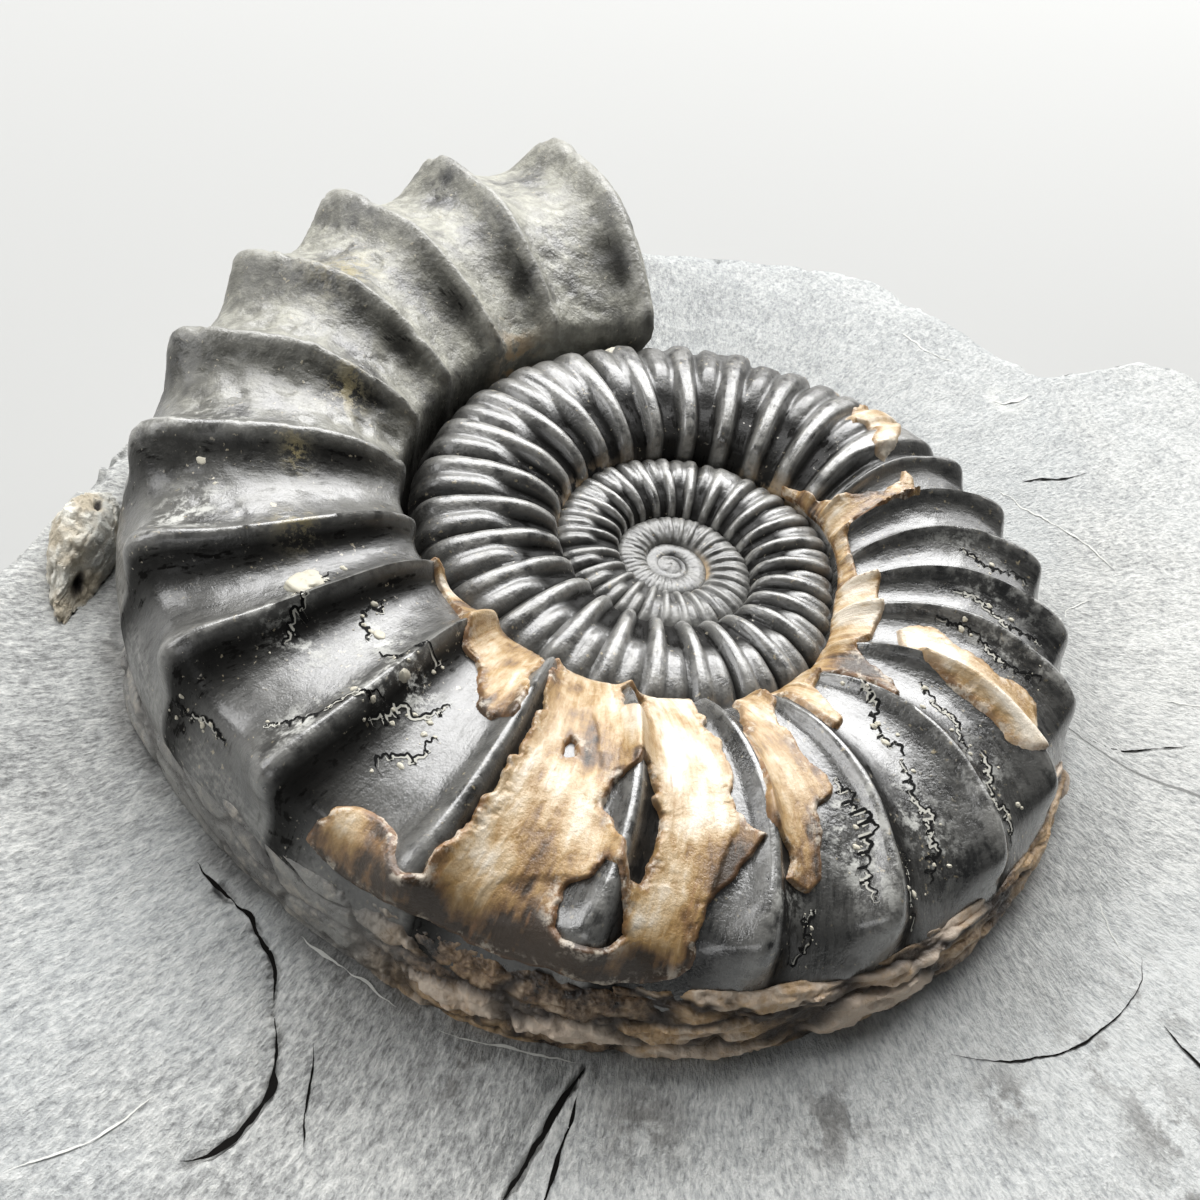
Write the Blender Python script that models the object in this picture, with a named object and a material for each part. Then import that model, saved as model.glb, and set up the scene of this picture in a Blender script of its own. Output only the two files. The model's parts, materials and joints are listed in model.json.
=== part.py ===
"""Ammonite fossil on its stone.

A ribbed, spined internal mould of an evolute ammonite lies flat in a recess of a loose slab of grey stone.
Flakes of the brown shell still cling to the mould, a lumpy crust lines its lower rim, and a broken
shell fragment sits at the left edge of the slab.

Metres, +Z up. The origin is the centre of the box, on the slab's flat base.
The coil grows clockwise seen from above. Whorl angles are in degrees and rise towards the aperture.
A length in a section is a share of the whorl's own radius, so that every whorl has the same shape.
"""

import math

import bmesh
import bpy
from mathutils import Matrix, Vector, noise

# Coil, in metres and degrees
VENTER_RADIUS = 0.048  # coil axis to venter at whorl angle 0
GROWTH = 0.1231  # natural log of the radius gained per radian
TURN = 360.0
WHORL_RATIO = math.exp(GROWTH * math.tau)
APERTURE_ANGLE = 12.0
APERTURE_BEARING = 130.1  # compass of whorl angle 0, anticlockwise from +X
NUCLEUS_START = APERTURE_ANGLE - 3 * TURN
INNER_START = APERTURE_ANGLE - 2 * TURN
OUTER_START = APERTURE_ANGLE - TURN
SEAM_RADIUS = 0.431
SEAM_DIP = 0.093  # the seam bends inwards by this share
SEAM_DIP_PLACE = (-229.0, 25.0)  # its whorl angle and half width
SQUEEZE = 0.096  # the body chamber lies inside the true spiral by this share
SQUEEZE_PLACE = (-53.4, 47.8)
CREVICE_DEPTH = 0.035  # the seam drops by this much beside the body chamber
CREVICE_RANGE = (-115.0, -70.0)
CHAMBER_SLOPE = 0.42  # and the umbilical side of the chamber is lower by this share at the seam
SLOPE_RANGE = (-110.0, -20.0)
COVERED = 0.884  # share of the whorl height where the next whorl covers it

# Whorl section from the seam to the venter: share of whorl height, height, rib relief, relief direction
SEAM = (0.0, 0.055, 0.0, 90.0)
WALL = (0.02, 0.078, 0.004, 120.0)
SHOULDER = (0.08, 0.112, 0.018, 105.0)
INNER_FLANK = (0.24, 0.152, 0.030, 94.0)
MID_FLANK = (0.45, 0.166, 0.032, 88.0)
OUTER_FLANK = (0.66, 0.150, 0.038, 75.0)
SPINE = (0.84, 0.112, 0.058, 45.0)
VENTER_EDGE = (0.93, 0.058, 0.012, 20.0)
KEEL = (0.98, 0.0, 0.0, 0.0)
UNDER_EDGE = (0.965, -0.075, 0.0, 0.0)
UNDER_BEND = (0.90, -0.125, 0.0, 0.0)
FLOOR_EDGE = (0.70, None, 0.0, 0.0)
FLOOR_HEIGHT = -0.0082  # flat underside of the mould, below the plane of coiling
FLANK = (SEAM, WALL, SHOULDER, INNER_FLANK, MID_FLANK, OUTER_FLANK, SPINE, VENTER_EDGE, KEEL)
UNDERSIDE = (VENTER_EDGE, KEEL, UNDER_EDGE, UNDER_BEND, FLOOR_EDGE)
NUCLEUS_HEIGHT = 0.0006
END_CENTRE = 0.72  # middle of the broken end, as a share of the whorl radius
END_BULGE = 0.6

# Ribs
FIRST_RIB = 10.5
RIB_RUNS = ((-215.0, 15.4), (-271.0, 12.4), (INNER_START - 1.0, 6.6))  # lowest angle of a run, spacing in it
RIB_WIDTH = 0.304  # share of the spacing in which a rib falls to about a third of its height
FINE_SPACING = 9.0  # ribs closer than this are the low, dense ones
FINE_RELIEF = 0.6
FORWARD_LEAN = 5.0  # the umbilical end of a rib runs ahead of its spine
BACKWARD_CURL = 5.0  # the middle of a rib lags on the first half of the last whorl
CURL_ANGLE = -215.0
CURL_RANGE = 75.0
END_FLARE = 6.0  # the lower lip of the broken end runs ahead of its spine
FLARE_RANGE = (-4.0, APERTURE_ANGLE)
COARSE_COLUMNS = (-0.35, -0.14, 0.0, 0.14, 0.35)
FINE_COLUMNS = (-0.33, 0.0, 0.33)
NUCLEUS_STEP = 6.0
LEAST_STEP = 0.7  # columns are never closer than this

# Stone
BASE_DEPTH = 0.026  # plane of coiling to the flat base
AXIS_PLAN = (-0.007878, 0.001086)  # coil axis in plan, from the centre of the box
STONE_TOP = -0.0043  # open surface, below the plane of coiling
TROUGH_DEPTH = 0.0024  # deeper ground beside the body chamber
TROUGH_BEARING = 205.0
TROUGH_RANGE = 62.0
TROUGH_WIDTH = 0.009
STONE_COLUMN_STEP = 4.0
STONE_RINGS = (0.0012, 0.0050, 0.0120)  # distances outside the venter
RING_SHARES = (0.18, 0.36, 0.60)  # at most this share of the room outside the venter
SKIRT_SHARES = (0.40, 1.0)  # the rest of the way to the slab's edge
RIM_LEVEL = -0.078  # the stone meets the venter here, in whorl radii
LAP_WIDTH = 0.008
END_CLEARANCE = (1.6, 2.6)  # whorl angles past the broken end where the recess closes
EDGE_ROUND = 0.0022
STONE_RELIEF = 0.0009
RELIEF_SIZE = 0.028
SIDE_LEVELS = ((0.20, 1.000), (0.55, 1.030), (0.90, 1.010))  # share of the way down, share of the outline
SIDE_ROUGHNESS = 0.0022
ROUGHNESS_SIZE = 0.009
OUTLINE_WAVE = 0.010
WAVE_RADIUS = 0.05
WAVE_SIZE = 0.012
BASE_SCALE = 0.975
SLAB_OUTLINE = (  # plan of the top edge about the coil axis, anticlockwise
    (0.0570, 0.0050), (0.0590, 0.0240), (0.0575, 0.0450), (0.0490, 0.0565), (0.0400, 0.0572),
    (0.0340, 0.0520), (0.0296, 0.0494), (0.0245, 0.0500), (0.0165, 0.0540), (0.0090, 0.0569),
    (-0.0031, 0.0514), (-0.0137, 0.0467), (-0.0270, 0.0480), (-0.0345, 0.0375), (-0.0405, 0.0235),
    (-0.0418, 0.0057), (-0.0426, -0.0060), (-0.0426, -0.0154), (-0.0440, -0.0270), (-0.0430, -0.0400),
    (-0.0385, -0.0520), (-0.0270, -0.0590), (-0.0080, -0.0580), (0.0120, -0.0550), (0.0300, -0.0510),
    (0.0440, -0.0430), (0.0530, -0.0290), (0.0575, -0.0120),
)

# Shell flakes: whorl angle, then the shares of whorl height between which the flake lies
FLAKE_THICKNESS = 0.0006
FLAKES = {
    "shell_sheet": (
        (-159.5, 0.10, 0.60), (-156.0, 0.06, 0.78), (-151.0, 0.05, 0.90), (-143.0, 0.05, 0.905),
        (-134.0, 0.06, 0.905), (-130.3, 0.22, 0.905), (-125.9, 0.68, 0.905), (-122.7, 0.84, 0.905),
        (-117.5, 0.82, 0.905),
    ),
    "shell_flake_inner": (
        (-124.5, 0.06, 0.42), (-118.0, 0.05, 0.36), (-110.0, 0.05, 0.22), (-98.0, 0.05, 0.12),
    ),
    "shell_flake_lower": ((-173.0, 0.07, 0.30), (-169.0, 0.06, 0.62), (-163.5, 0.06, 0.70)),
    "shell_flake_right": ((-217.5, 0.26, 0.78), (-212.0, 0.28, 0.80), (-207.0, 0.34, 0.74)),
    "shell_seam_right": (
        (-272.5, 0.52, 0.66), (-269.0, 0.40, 0.60), (-265.0, 0.10, 0.50), (-258.0, 0.04, 0.12),
        (-240.0, 0.04, 0.10), (-232.0, 0.04, 0.16), (-226.0, 0.04, 0.12), (-205.0, 0.04, 0.14),
        (-196.0, 0.04, 0.30), (-190.0, 0.04, 0.12), (-177.0, 0.04, 0.12),
    ),
    "shell_flake_upper": ((-293.0, 0.56, 0.93), (-287.0, 0.50, 0.90), (-279.5, 0.46, 0.62)),
}
FLAKE_GAP = 0.0005

# Crust along the lower rim: it covers the foot of the venter down to the stone
CRUST_BEARINGS = (234.0, 352.0)
CRUST_TOP_SHARE = 0.945
CRUST_GAP = 0.00045
CRUST_LEDGE = 0.0006  # width of its top
CRUST_BULGE = 0.0009
CRUST_BELLY = 0.2  # the bulge lies at this share of the top's height
CRUST_LUMP = 0.0007
LUMP_SIZE = 0.0030
CRUST_LEVELS = (0.0, 0.004)

# Broken fragment at the left edge
FRAGMENT_BEARING = 197.0
FRAGMENT_OFFSET = 0.0031  # outside the venter
FRAGMENT_HALF_SIZE = (0.0022, 0.0056, 0.0036)
FRAGMENT_SEAT = 0.0009
FRAGMENT_ROUGHNESS = 0.35
FRAGMENT_LUMPS = 2.3
HOLLOW_DEPTH = 0.35
HOLLOW_WIDTH = 0.7
HOLLOW_SIDE = Vector((0.2, -0.6, 0.75))

GAP = 0.0003
MERGE_DISTANCE = 0.000001
SMOOTH_ANGLE = 40.0

# Colour and roughness of each finish
SLATE_GREY_STONE = ((0.33, 0.36, 0.38), 0.85)
MOULD_STONE = ((0.028, 0.027, 0.026), 0.42)
BROWN_SHELL = ((0.42, 0.25, 0.12), 0.45)
BROWN_CRUST = ((0.13, 0.085, 0.055), 0.8)
PALE_SHELL = ((0.36, 0.30, 0.24), 0.7)


def smoothstep(low, high, value):
    """0 below low, 1 above high, and a smooth ramp between them."""
    share = min(max((value - low) / (high - low), 0.0), 1.0)
    return share * share * (3 - 2 * share)


def bump(value, centre, width):
    """A bell of height 1."""
    return math.exp(-(((value - centre) / width) ** 2))


def whorl_radius(angle):
    """Radius of the venter's spiral, before the last half whorl's squeeze."""
    return VENTER_RADIUS * math.exp(GROWTH * math.radians(angle))


def seam_share(angle):
    """Radius of the umbilical seam, as a share of the whorl radius."""
    return SEAM_RADIUS * (1 - SEAM_DIP * bump(angle, *SEAM_DIP_PLACE))


def venter_share(angle):
    """Radius of the venter, as a share of the whorl radius."""
    return 1 - SQUEEZE * bump(angle, *SQUEEZE_PLACE)


def section_radius(angle, share):
    """Radius at a share of the whorl height. An inner whorl ends at the seam of the one that covers it."""
    seam = seam_share(angle)
    if angle < OUTER_START:
        height = (WHORL_RATIO * seam_share(angle + TURN) - seam) / COVERED
    else:
        height = venter_share(angle) - seam
    return whorl_radius(angle) * (seam + share * height)


def polar(radius, angle, height):
    """The point at a radius and a whorl angle."""
    bearing = math.radians(APERTURE_BEARING - angle)
    return Vector((radius * math.cos(bearing), radius * math.sin(bearing), height))


def seam_point(angle):
    """A point of the seam line, deeper beside the body chamber."""
    height = SEAM[1] - CREVICE_DEPTH * smoothstep(*CREVICE_RANGE, angle)
    radius = whorl_radius(angle)
    return polar(radius * seam_share(angle), angle, radius * height)


def rib_crests():
    """Whorl angles of the rib crests with their spacing, from the aperture inwards."""
    crests = []
    angle = FIRST_RIB
    for lowest, spacing in RIB_RUNS:
        while angle > lowest:
            crests.append((angle, spacing))
            angle -= spacing
    return crests


CRESTS = rib_crests()


def rib_profile(angle):
    """Rib height at a whorl angle, 1 on the crest of a coarse rib and near 0 in a furrow."""
    crest, spacing = min(CRESTS, key=lambda rib: abs(rib[0] - angle))
    strength = FINE_RELIEF if spacing < FINE_SPACING else 1.0
    return strength * bump(angle, crest, RIB_WIDTH * spacing)


def rib_lean(angle, share):
    """How far a rib runs ahead of its spine end, in degrees, at a share of the whorl height."""
    towards_seam = max(1 - share / SPINE[0], 0.0)
    curl = BACKWARD_CURL * bump(angle, CURL_ANGLE, CURL_RANGE) * math.sin(math.pi * towards_seam)
    flare = END_FLARE * smoothstep(*FLARE_RANGE, angle) * towards_seam if share > WALL[0] else 0.0
    return FORWARD_LEAN * towards_seam**2 - curl + flare


def station_point(angle, station, lift=0.0):
    """A point of the mould at one station of the section, raised by lift along the relief direction."""
    share, height, relief, direction = station
    radius = whorl_radius(angle)
    if height is None:
        return polar(section_radius(angle, share), angle, FLOOR_HEIGHT)
    towards_seam = max(1 - share / MID_FLANK[0], 0.0)
    height *= 1 - CHAMBER_SLOPE * smoothstep(*SLOPE_RANGE, angle) * towards_seam
    raised = radius * relief * rib_profile(angle) + lift
    slope = math.radians(direction)
    out = section_radius(angle, share) + raised * math.cos(slope)
    return polar(out, angle + rib_lean(angle, share), radius * height + raised * math.sin(slope))


def column_angles(low, high):
    """Whorl angles of the mesh columns from low to high: a few on each rib, always one on its crest."""
    angles = {low, high}
    for crest, spacing in CRESTS:
        steps = FINE_COLUMNS if spacing < FINE_SPACING else COARSE_COLUMNS
        angles.update(crest + step * spacing for step in steps)
    angles = sorted(angle for angle in angles if low <= angle <= high)
    kept = [low]
    for angle in angles:
        if angle - kept[-1] > LEAST_STEP and (high - angle > LEAST_STEP or angle == high):
            kept.append(angle)
    return kept


def material(name, colour, roughness):
    """A plain finish of one colour."""
    made = bpy.data.materials.new(name)
    made.use_nodes = True
    shader = made.node_tree.nodes["Principled BSDF"]
    shader.inputs["Base Color"].default_value = (*colour, 1.0)
    shader.inputs["Roughness"].default_value = roughness
    shader.inputs["Metallic"].default_value = 0.0
    return made


def finish(name, mesh, finish_material):
    """Turns a bmesh about the coil axis into a named object that stands on its base."""
    bmesh.ops.remove_doubles(mesh, verts=mesh.verts, dist=MERGE_DISTANCE)
    bmesh.ops.recalc_face_normals(mesh, faces=mesh.faces)
    data = bpy.data.meshes.new(name)
    mesh.to_mesh(data)
    mesh.free()
    data.materials.append(finish_material)
    data.shade_smooth()
    data.set_sharp_from_angle(angle=math.radians(SMOOTH_ANGLE))
    made = bpy.data.objects.new(name, data)
    bpy.context.scene.collection.objects.link(made)
    made.parent = bpy.data.objects["coil_axis"]
    return made


def triangle(mesh, corners):
    """Adds a face unless two of its corners are one point."""
    if len(set(corners)) == len(corners):
        mesh.faces.new(corners)


def zip_rows(mesh, lower, upper):
    """Joins two rows of (angle, vertex) that may have different angles, with triangles."""
    i = j = 0
    while i < len(lower) - 1 or j < len(upper) - 1:
        step_lower = j == len(upper) - 1 or (i < len(lower) - 1 and lower[i + 1][0] <= upper[j + 1][0])
        if step_lower:
            triangle(mesh, (lower[i][1], lower[i + 1][1], upper[j][1]))
            i += 1
        else:
            triangle(mesh, (lower[i][1], upper[j + 1][1], upper[j][1]))
            j += 1


def fan(mesh, loop, apex):
    """Closes a loop of vertices with triangles to one point."""
    tip = mesh.verts.new(apex)
    for first, second in zip(loop, loop[1:] + loop[:1]):
        triangle(mesh, (tip, first, second))


def station_row(mesh, angles, station):
    """One row of vertices along the whorl at a station."""
    return [(angle, mesh.verts.new(station_point(angle, station))) for angle in angles]


def make_ammonite():
    """The internal mould: three whorls and a worn nucleus in one closed mesh with ribs and spines."""
    mesh = bmesh.new()
    steps = round((INNER_START - NUCLEUS_START) / NUCLEUS_STEP)
    nucleus = [NUCLEUS_START + step * NUCLEUS_STEP for step in range(steps)]
    inner = nucleus + column_angles(INNER_START, OUTER_START)[:-1]
    outer = column_angles(OUTER_START, APERTURE_ANGLE)
    seam_angles = nucleus + [angle + TURN for angle in [*inner, OUTER_START]]
    seam = [(angle, mesh.verts.new(seam_point(angle))) for angle in seam_angles]
    covered = [(angle - TURN, vertex) for angle, vertex in seam if angle >= INNER_START]
    whole = (SHOULDER, MID_FLANK, OUTER_FLANK, SPINE)
    rows = [station_row(mesh, inner + outer, station) for station in whole]
    shoulder, middle, outer_flank, spine = rows
    under = [station_row(mesh, outer, station) for station in UNDERSIDE]

    # The outer whorl has two more rows, which start at a vertex of their neighbour.
    split = len(inner)
    wall = shoulder[split : split + 1] + station_row(mesh, outer[1:], WALL)
    inner_flank = middle[split : split + 1] + station_row(mesh, outer[1:], INNER_FLANK)
    seam_split = next(place for place, item in enumerate(seam) if item[0] >= OUTER_START)
    zip_rows(mesh, seam[: seam_split + 1], shoulder[: split + 1])
    zip_rows(mesh, seam[seam_split:], wall)
    zip_rows(mesh, wall, shoulder[split:])
    zip_rows(mesh, shoulder[: split + 1], middle[: split + 1])
    zip_rows(mesh, shoulder[split:], inner_flank)
    zip_rows(mesh, inner_flank, middle[split:])
    zip_rows(mesh, middle, outer_flank)
    zip_rows(mesh, outer_flank, spine)
    zip_rows(mesh, spine, covered + under[0])
    for lower, upper in zip(under, under[1:]):
        zip_rows(mesh, lower, upper)

    # Nucleus, buried underside and broken end of the body chamber.
    first_turn = [vertex for angle, vertex in seam if angle <= INNER_START]
    start_column = [row[0][1] for row in reversed(rows)]
    fan(mesh, first_turn + start_column, (0.0, 0.0, NUCLEUS_HEIGHT))
    mesh.faces.new([vertex for _, vertex in under[-1]])
    end_rows = (seam, wall, shoulder, inner_flank, middle, outer_flank, spine, *under)
    end_loop = [row[-1][1] for row in end_rows] + [row[0][1] for row in reversed(under)]
    fan(mesh, end_loop, polar(END_CENTRE * whorl_radius(APERTURE_ANGLE), APERTURE_ANGLE + END_BULGE, 0.0))
    return finish("ammonite", mesh, material("mould_stone", *MOULD_STONE))


def facet_point(angle, share, lift):
    """The point of the mould's facets at any share of the whorl height, raised by lift."""
    for low, high in zip(FLANK, FLANK[1:]):
        if share <= high[0]:
            break
    part = (share - low[0]) / (high[0] - low[0])
    return station_point(angle, low, lift).lerp(station_point(angle, high, lift), part)


def interpolated(outline, angle):
    """Lower and upper shares of a flake at an angle."""
    for low, high in zip(outline, outline[1:]):
        if angle <= high[0]:
            break
    part = min(max((angle - low[0]) / (high[0] - low[0]), 0.0), 1.0)
    return [low[side] + part * (high[side] - low[side]) for side in (1, 2)]


def make_flake(name, outline, columns):
    """A thin plate that follows the mould between two shares of the whorl height."""
    mesh = bmesh.new()
    angles = [angle for angle in columns if outline[0][0] <= angle <= outline[-1][0]]
    sheets = []
    for lift in (FLAKE_GAP, FLAKE_GAP + FLAKE_THICKNESS):
        sheet = []
        for station in FLANK:
            row = []
            for angle in angles:
                low, high = interpolated(outline, angle)
                share = min(max(station[0], low), high)
                row.append((angle, mesh.verts.new(facet_point(angle, share, lift))))
            sheet.append(row)
        sheets.append(sheet)
    for sheet in sheets:
        for lower, upper in zip(sheet, sheet[1:]):
            zip_rows(mesh, lower, upper)
    for edge in (0, -1):
        zip_rows(mesh, sheets[0][edge], sheets[1][edge])
        column_pair = [[(place, row[edge][1]) for place, row in enumerate(sheet)] for sheet in sheets]
        zip_rows(mesh, *column_pair)
    return finish(name, mesh, material(f"{name}_brown", *BROWN_SHELL))


def angle_at(bearing):
    """Whorl angle of the outermost whorl at a bearing in degrees."""
    return (APERTURE_BEARING - bearing - OUTER_START) % TURN + OUTER_START


def outline_radius(bearing):
    """Distance from the coil axis to the slab's outline at a bearing."""
    ray = Vector((math.cos(math.radians(bearing)), math.sin(math.radians(bearing))))
    for first, second in zip(SLAB_OUTLINE, SLAB_OUTLINE[1:] + SLAB_OUTLINE[:1]):
        start, side = Vector(first), Vector(second) - Vector(first)
        along = ray.cross(side)
        if along == 0:
            continue
        distance = start.cross(side) / along
        part = start.cross(ray) / along
        if distance > 0 and 0 <= part <= 1:
            return distance
    return 0.0


def stone_height(angle, outside):
    """Height of the stone's top at a distance outside the venter. It laps up against the mould."""
    radius = section_radius(angle, KEEL[0]) + outside
    bearing = APERTURE_BEARING - angle
    offset = (bearing - TROUGH_BEARING + TURN / 2) % TURN - TURN / 2
    point = polar(radius, angle, 0.0)
    height = STONE_TOP + STONE_RELIEF * noise.noise(point / RELIEF_SIZE)
    lap = RIM_LEVEL * whorl_radius(angle) - STONE_TOP
    height += lap * (1 - smoothstep(0.0, LAP_WIDTH, outside))
    return height - TROUGH_DEPTH * bump(offset, 0.0, TROUGH_RANGE) * bump(outside, 0.0, TROUGH_WIDTH)


def stone_columns():
    """Whorl angles of the stone's columns, which stand clear of the broken end of the mould."""
    first = OUTER_START + END_CLEARANCE[1]
    last = APERTURE_ANGLE + END_CLEARANCE[0]
    count = round((last - first) / STONE_COLUMN_STEP)
    return [first + (last - first) * place / count for place in range(count + 1)]


def stone_column(angle):
    """The points of one column of the stone, from the floor of the recess to the flat base."""
    points = []
    for share, height, _, _ in (FLOOR_EDGE, UNDER_BEND, UNDER_EDGE):
        buried = FLOOR_HEIGHT if height is None else height * whorl_radius(angle)
        points.append((section_radius(angle, share) + GAP, min(buried - GAP, stone_height(angle, 0.0))))
    venter = section_radius(angle, KEEL[0])
    points.append((venter + GAP, stone_height(angle, 0.0)))
    wave = OUTLINE_WAVE * noise.noise(polar(WAVE_RADIUS, angle, 0.0) / WAVE_SIZE)
    edge = outline_radius(APERTURE_BEARING - angle) * (1 + wave)
    room = edge - venter
    near = [min(ring, room * share) for ring, share in zip(STONE_RINGS, RING_SHARES)]
    far = [near[-1] + (room - near[-1]) * share for share in SKIRT_SHARES]
    points += [(venter + outside, stone_height(angle, outside)) for outside in near + far]
    top = stone_height(angle, room) - EDGE_ROUND
    for down, scale in SIDE_LEVELS:
        height = top + (-BASE_DEPTH - top) * down
        rough = SIDE_ROUGHNESS * noise.noise(polar(edge, angle, height) / ROUGHNESS_SIZE)
        points.append((edge * scale + rough, height))
    points.append((edge * BASE_SCALE, -BASE_DEPTH))
    return points


def make_matrix():
    """The slab of stone: a recess that fits the mould, a broken edge and a flat base."""
    mesh = bmesh.new()
    columns = [
        [mesh.verts.new(polar(radius, angle, height)) for radius, height in stone_column(angle)]
        for angle in stone_columns()
    ]
    for first, second in zip(columns, columns[1:] + columns[:1]):
        for low, high in zip(range(len(first)), range(1, len(first))):
            mesh.faces.new((first[low], first[high], second[high], second[low]))
    mesh.faces.new([column[0] for column in columns])
    mesh.faces.new([column[-1] for column in columns])
    return finish("matrix", mesh, material("slate_grey_stone", *SLATE_GREY_STONE))


def make_crust():
    """A lumpy ledge along the lower rim, between the venter and the stone."""
    mesh = bmesh.new()
    sections = []
    for angle in stone_columns():
        if not CRUST_BEARINGS[0] < (APERTURE_BEARING - angle) % TURN < CRUST_BEARINGS[1]:
            continue
        venter = section_radius(angle, KEEL[0])
        lumps = [CRUST_LUMP * noise.noise(polar(venter, angle, level) / LUMP_SIZE) for level in CRUST_LEVELS]
        top = facet_point(angle, CRUST_TOP_SHARE, 0.0)
        top_radius = math.hypot(top.x, top.y)
        ledge = [
            (venter + CRUST_GAP, stone_height(angle, 0.0) + GAP),
            (venter + CRUST_GAP, 0.0),
            (top_radius + CRUST_GAP, top.z),
            (top_radius + CRUST_LEDGE, top.z + lumps[0] / 2),
            (venter + CRUST_BULGE + lumps[1], CRUST_BELLY * top.z + lumps[0]),
            (venter + STONE_RINGS[0], stone_height(angle, STONE_RINGS[0]) + GAP),
        ]
        sections.append([mesh.verts.new(polar(radius, angle, height)) for radius, height in ledge])
    for first, second in zip(sections, sections[1:]):
        for low in range(len(first)):
            high = (low + 1) % len(first)
            mesh.faces.new((first[low], first[high], second[high], second[low]))
    mesh.faces.new(sections[0])
    mesh.faces.new(sections[-1])
    return finish("rim_crust", mesh, material("brown_crust", *BROWN_CRUST))


def make_fragment():
    """A broken lump of shell that lies on the stone beside the body chamber."""
    mesh = bmesh.new()
    bmesh.ops.create_icosphere(mesh, subdivisions=2, radius=1.0)
    angle = angle_at(FRAGMENT_BEARING)
    radius = section_radius(angle, KEEL[0]) + FRAGMENT_OFFSET
    seat = polar(radius, angle, stone_height(angle, FRAGMENT_OFFSET) + FRAGMENT_SEAT)
    for vertex in mesh.verts:
        rough = 1 + FRAGMENT_ROUGHNESS * noise.noise(vertex.co * FRAGMENT_LUMPS)
        hollow = 1 - HOLLOW_DEPTH * bump((vertex.co - HOLLOW_SIDE).length, 0.0, HOLLOW_WIDTH)
        vertex.co = Vector(side * size for side, size in zip(vertex.co * rough * hollow, FRAGMENT_HALF_SIZE))
        vertex.co.z = max(vertex.co.z, 0.0)
    turn = Matrix.Rotation(math.radians(FRAGMENT_BEARING), 4, "Z")
    bmesh.ops.transform(mesh, matrix=Matrix.Translation(seat) @ turn, verts=mesh.verts)
    return finish("shell_fragment", mesh, material("pale_shell", *PALE_SHELL))


def main():
    """Clears the scene and makes every piece about the coil axis."""
    for left_over in list(bpy.data.objects):
        bpy.data.objects.remove(left_over)
    axis = bpy.data.objects.new("coil_axis", None)
    bpy.context.scene.collection.objects.link(axis)
    axis.location = (*AXIS_PLAN, BASE_DEPTH)
    make_matrix()
    make_ammonite()
    columns = column_angles(OUTER_START, APERTURE_ANGLE)
    for name, outline in FLAKES.items():
        make_flake(name, outline, columns)
    make_crust()
    make_fragment()


main()
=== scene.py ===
"""Ammonite fossil on its stone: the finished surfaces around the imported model.

Every piece follows the same coil as the solids. A place on the coil is a whorl angle, in degrees and rising
towards the broken end, and a share of the whorl's height, from 0 at the seam to 1 at the venter.
Metres, +Z up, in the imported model's frame. Sizes whose names end in _mm are in millimetres.
"""

from __future__ import annotations

import json
import logging
import math
from collections.abc import Mapping, Sequence
from dataclasses import dataclass, field
from enum import Enum
from functools import reduce

import bpy
import numpy as np
from mathutils import Matrix, Vector, noise

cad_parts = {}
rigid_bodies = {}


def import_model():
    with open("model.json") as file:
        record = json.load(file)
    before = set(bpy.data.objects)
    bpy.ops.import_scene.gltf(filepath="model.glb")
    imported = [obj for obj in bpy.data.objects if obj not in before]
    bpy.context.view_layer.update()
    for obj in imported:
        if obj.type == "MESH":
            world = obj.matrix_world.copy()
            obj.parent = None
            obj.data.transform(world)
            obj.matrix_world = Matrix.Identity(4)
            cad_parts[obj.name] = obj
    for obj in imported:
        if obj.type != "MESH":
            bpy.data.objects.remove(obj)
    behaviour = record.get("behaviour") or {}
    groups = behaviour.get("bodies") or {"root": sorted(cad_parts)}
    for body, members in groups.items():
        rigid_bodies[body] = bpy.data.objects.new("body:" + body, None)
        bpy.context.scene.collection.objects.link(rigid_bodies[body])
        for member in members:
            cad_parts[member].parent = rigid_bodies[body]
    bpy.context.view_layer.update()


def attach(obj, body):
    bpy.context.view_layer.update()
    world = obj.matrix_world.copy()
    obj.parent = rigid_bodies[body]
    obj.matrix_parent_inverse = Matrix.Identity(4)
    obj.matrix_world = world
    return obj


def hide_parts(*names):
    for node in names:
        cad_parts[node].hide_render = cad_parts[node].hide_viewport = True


Array = np.ndarray
Colour = tuple[float, float, float]
Pair = tuple[float, float]
Triple = tuple[float, float, float]
Line = tuple[Pair, ...]
Material = bpy.types.Material
Piece = bpy.types.Object

LOG = logging.getLogger("ammonite")
MM = 0.001
TURN = 360.0
# The coil axis in plan, and the depth of the slab's base under the plane of coiling
AXIS_PLAN = (-0.007878, 0.001086)
BASE_DEPTH = 0.026
# Share of the whorl height at which the keel lies
KEEL_SHARE = 0.98
# Length along a whorl for a radian, as shares of its radius: at the seam, in the middle of the flank, and
# what the venter has over the seam
SEAM_REACH = 0.43
MIDDLE_REACH = 0.7
FLANK_REACH = 0.55
# A whorl's height as shares of its radius: in plan, and along its curved flank
PLAN_HEIGHT = 0.57
CURVED_HEIGHT = 0.62


def smoothstep(low: float, high: float, value: Array) -> Array:
    """Ramps smoothly from 0 at low to 1 at high."""
    share = np.clip((value - low) / (high - low), 0.0, 1.0)
    return share * share * (3 - 2 * share)


def bell(value: Array, centre: float, width: float) -> Array:
    """Makes a bell of height 1 that has fallen to about a third at its width from the centre."""
    return np.exp(-(((value - centre) / width) ** 2))


def rays(bearing: Array) -> Array:
    """Gives unit vectors in plan from bearings in degrees."""
    compass = np.radians(bearing)
    return np.stack([np.cos(compass), np.sin(compass)], axis=-1)


def with_level(plan: Array, level: Array | float = 0.0) -> Array:
    """Adds a z to points that have x and y."""
    return np.concatenate([plan, np.broadcast_to(level, plan.shape[:-1])[..., None]], axis=-1)


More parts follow.
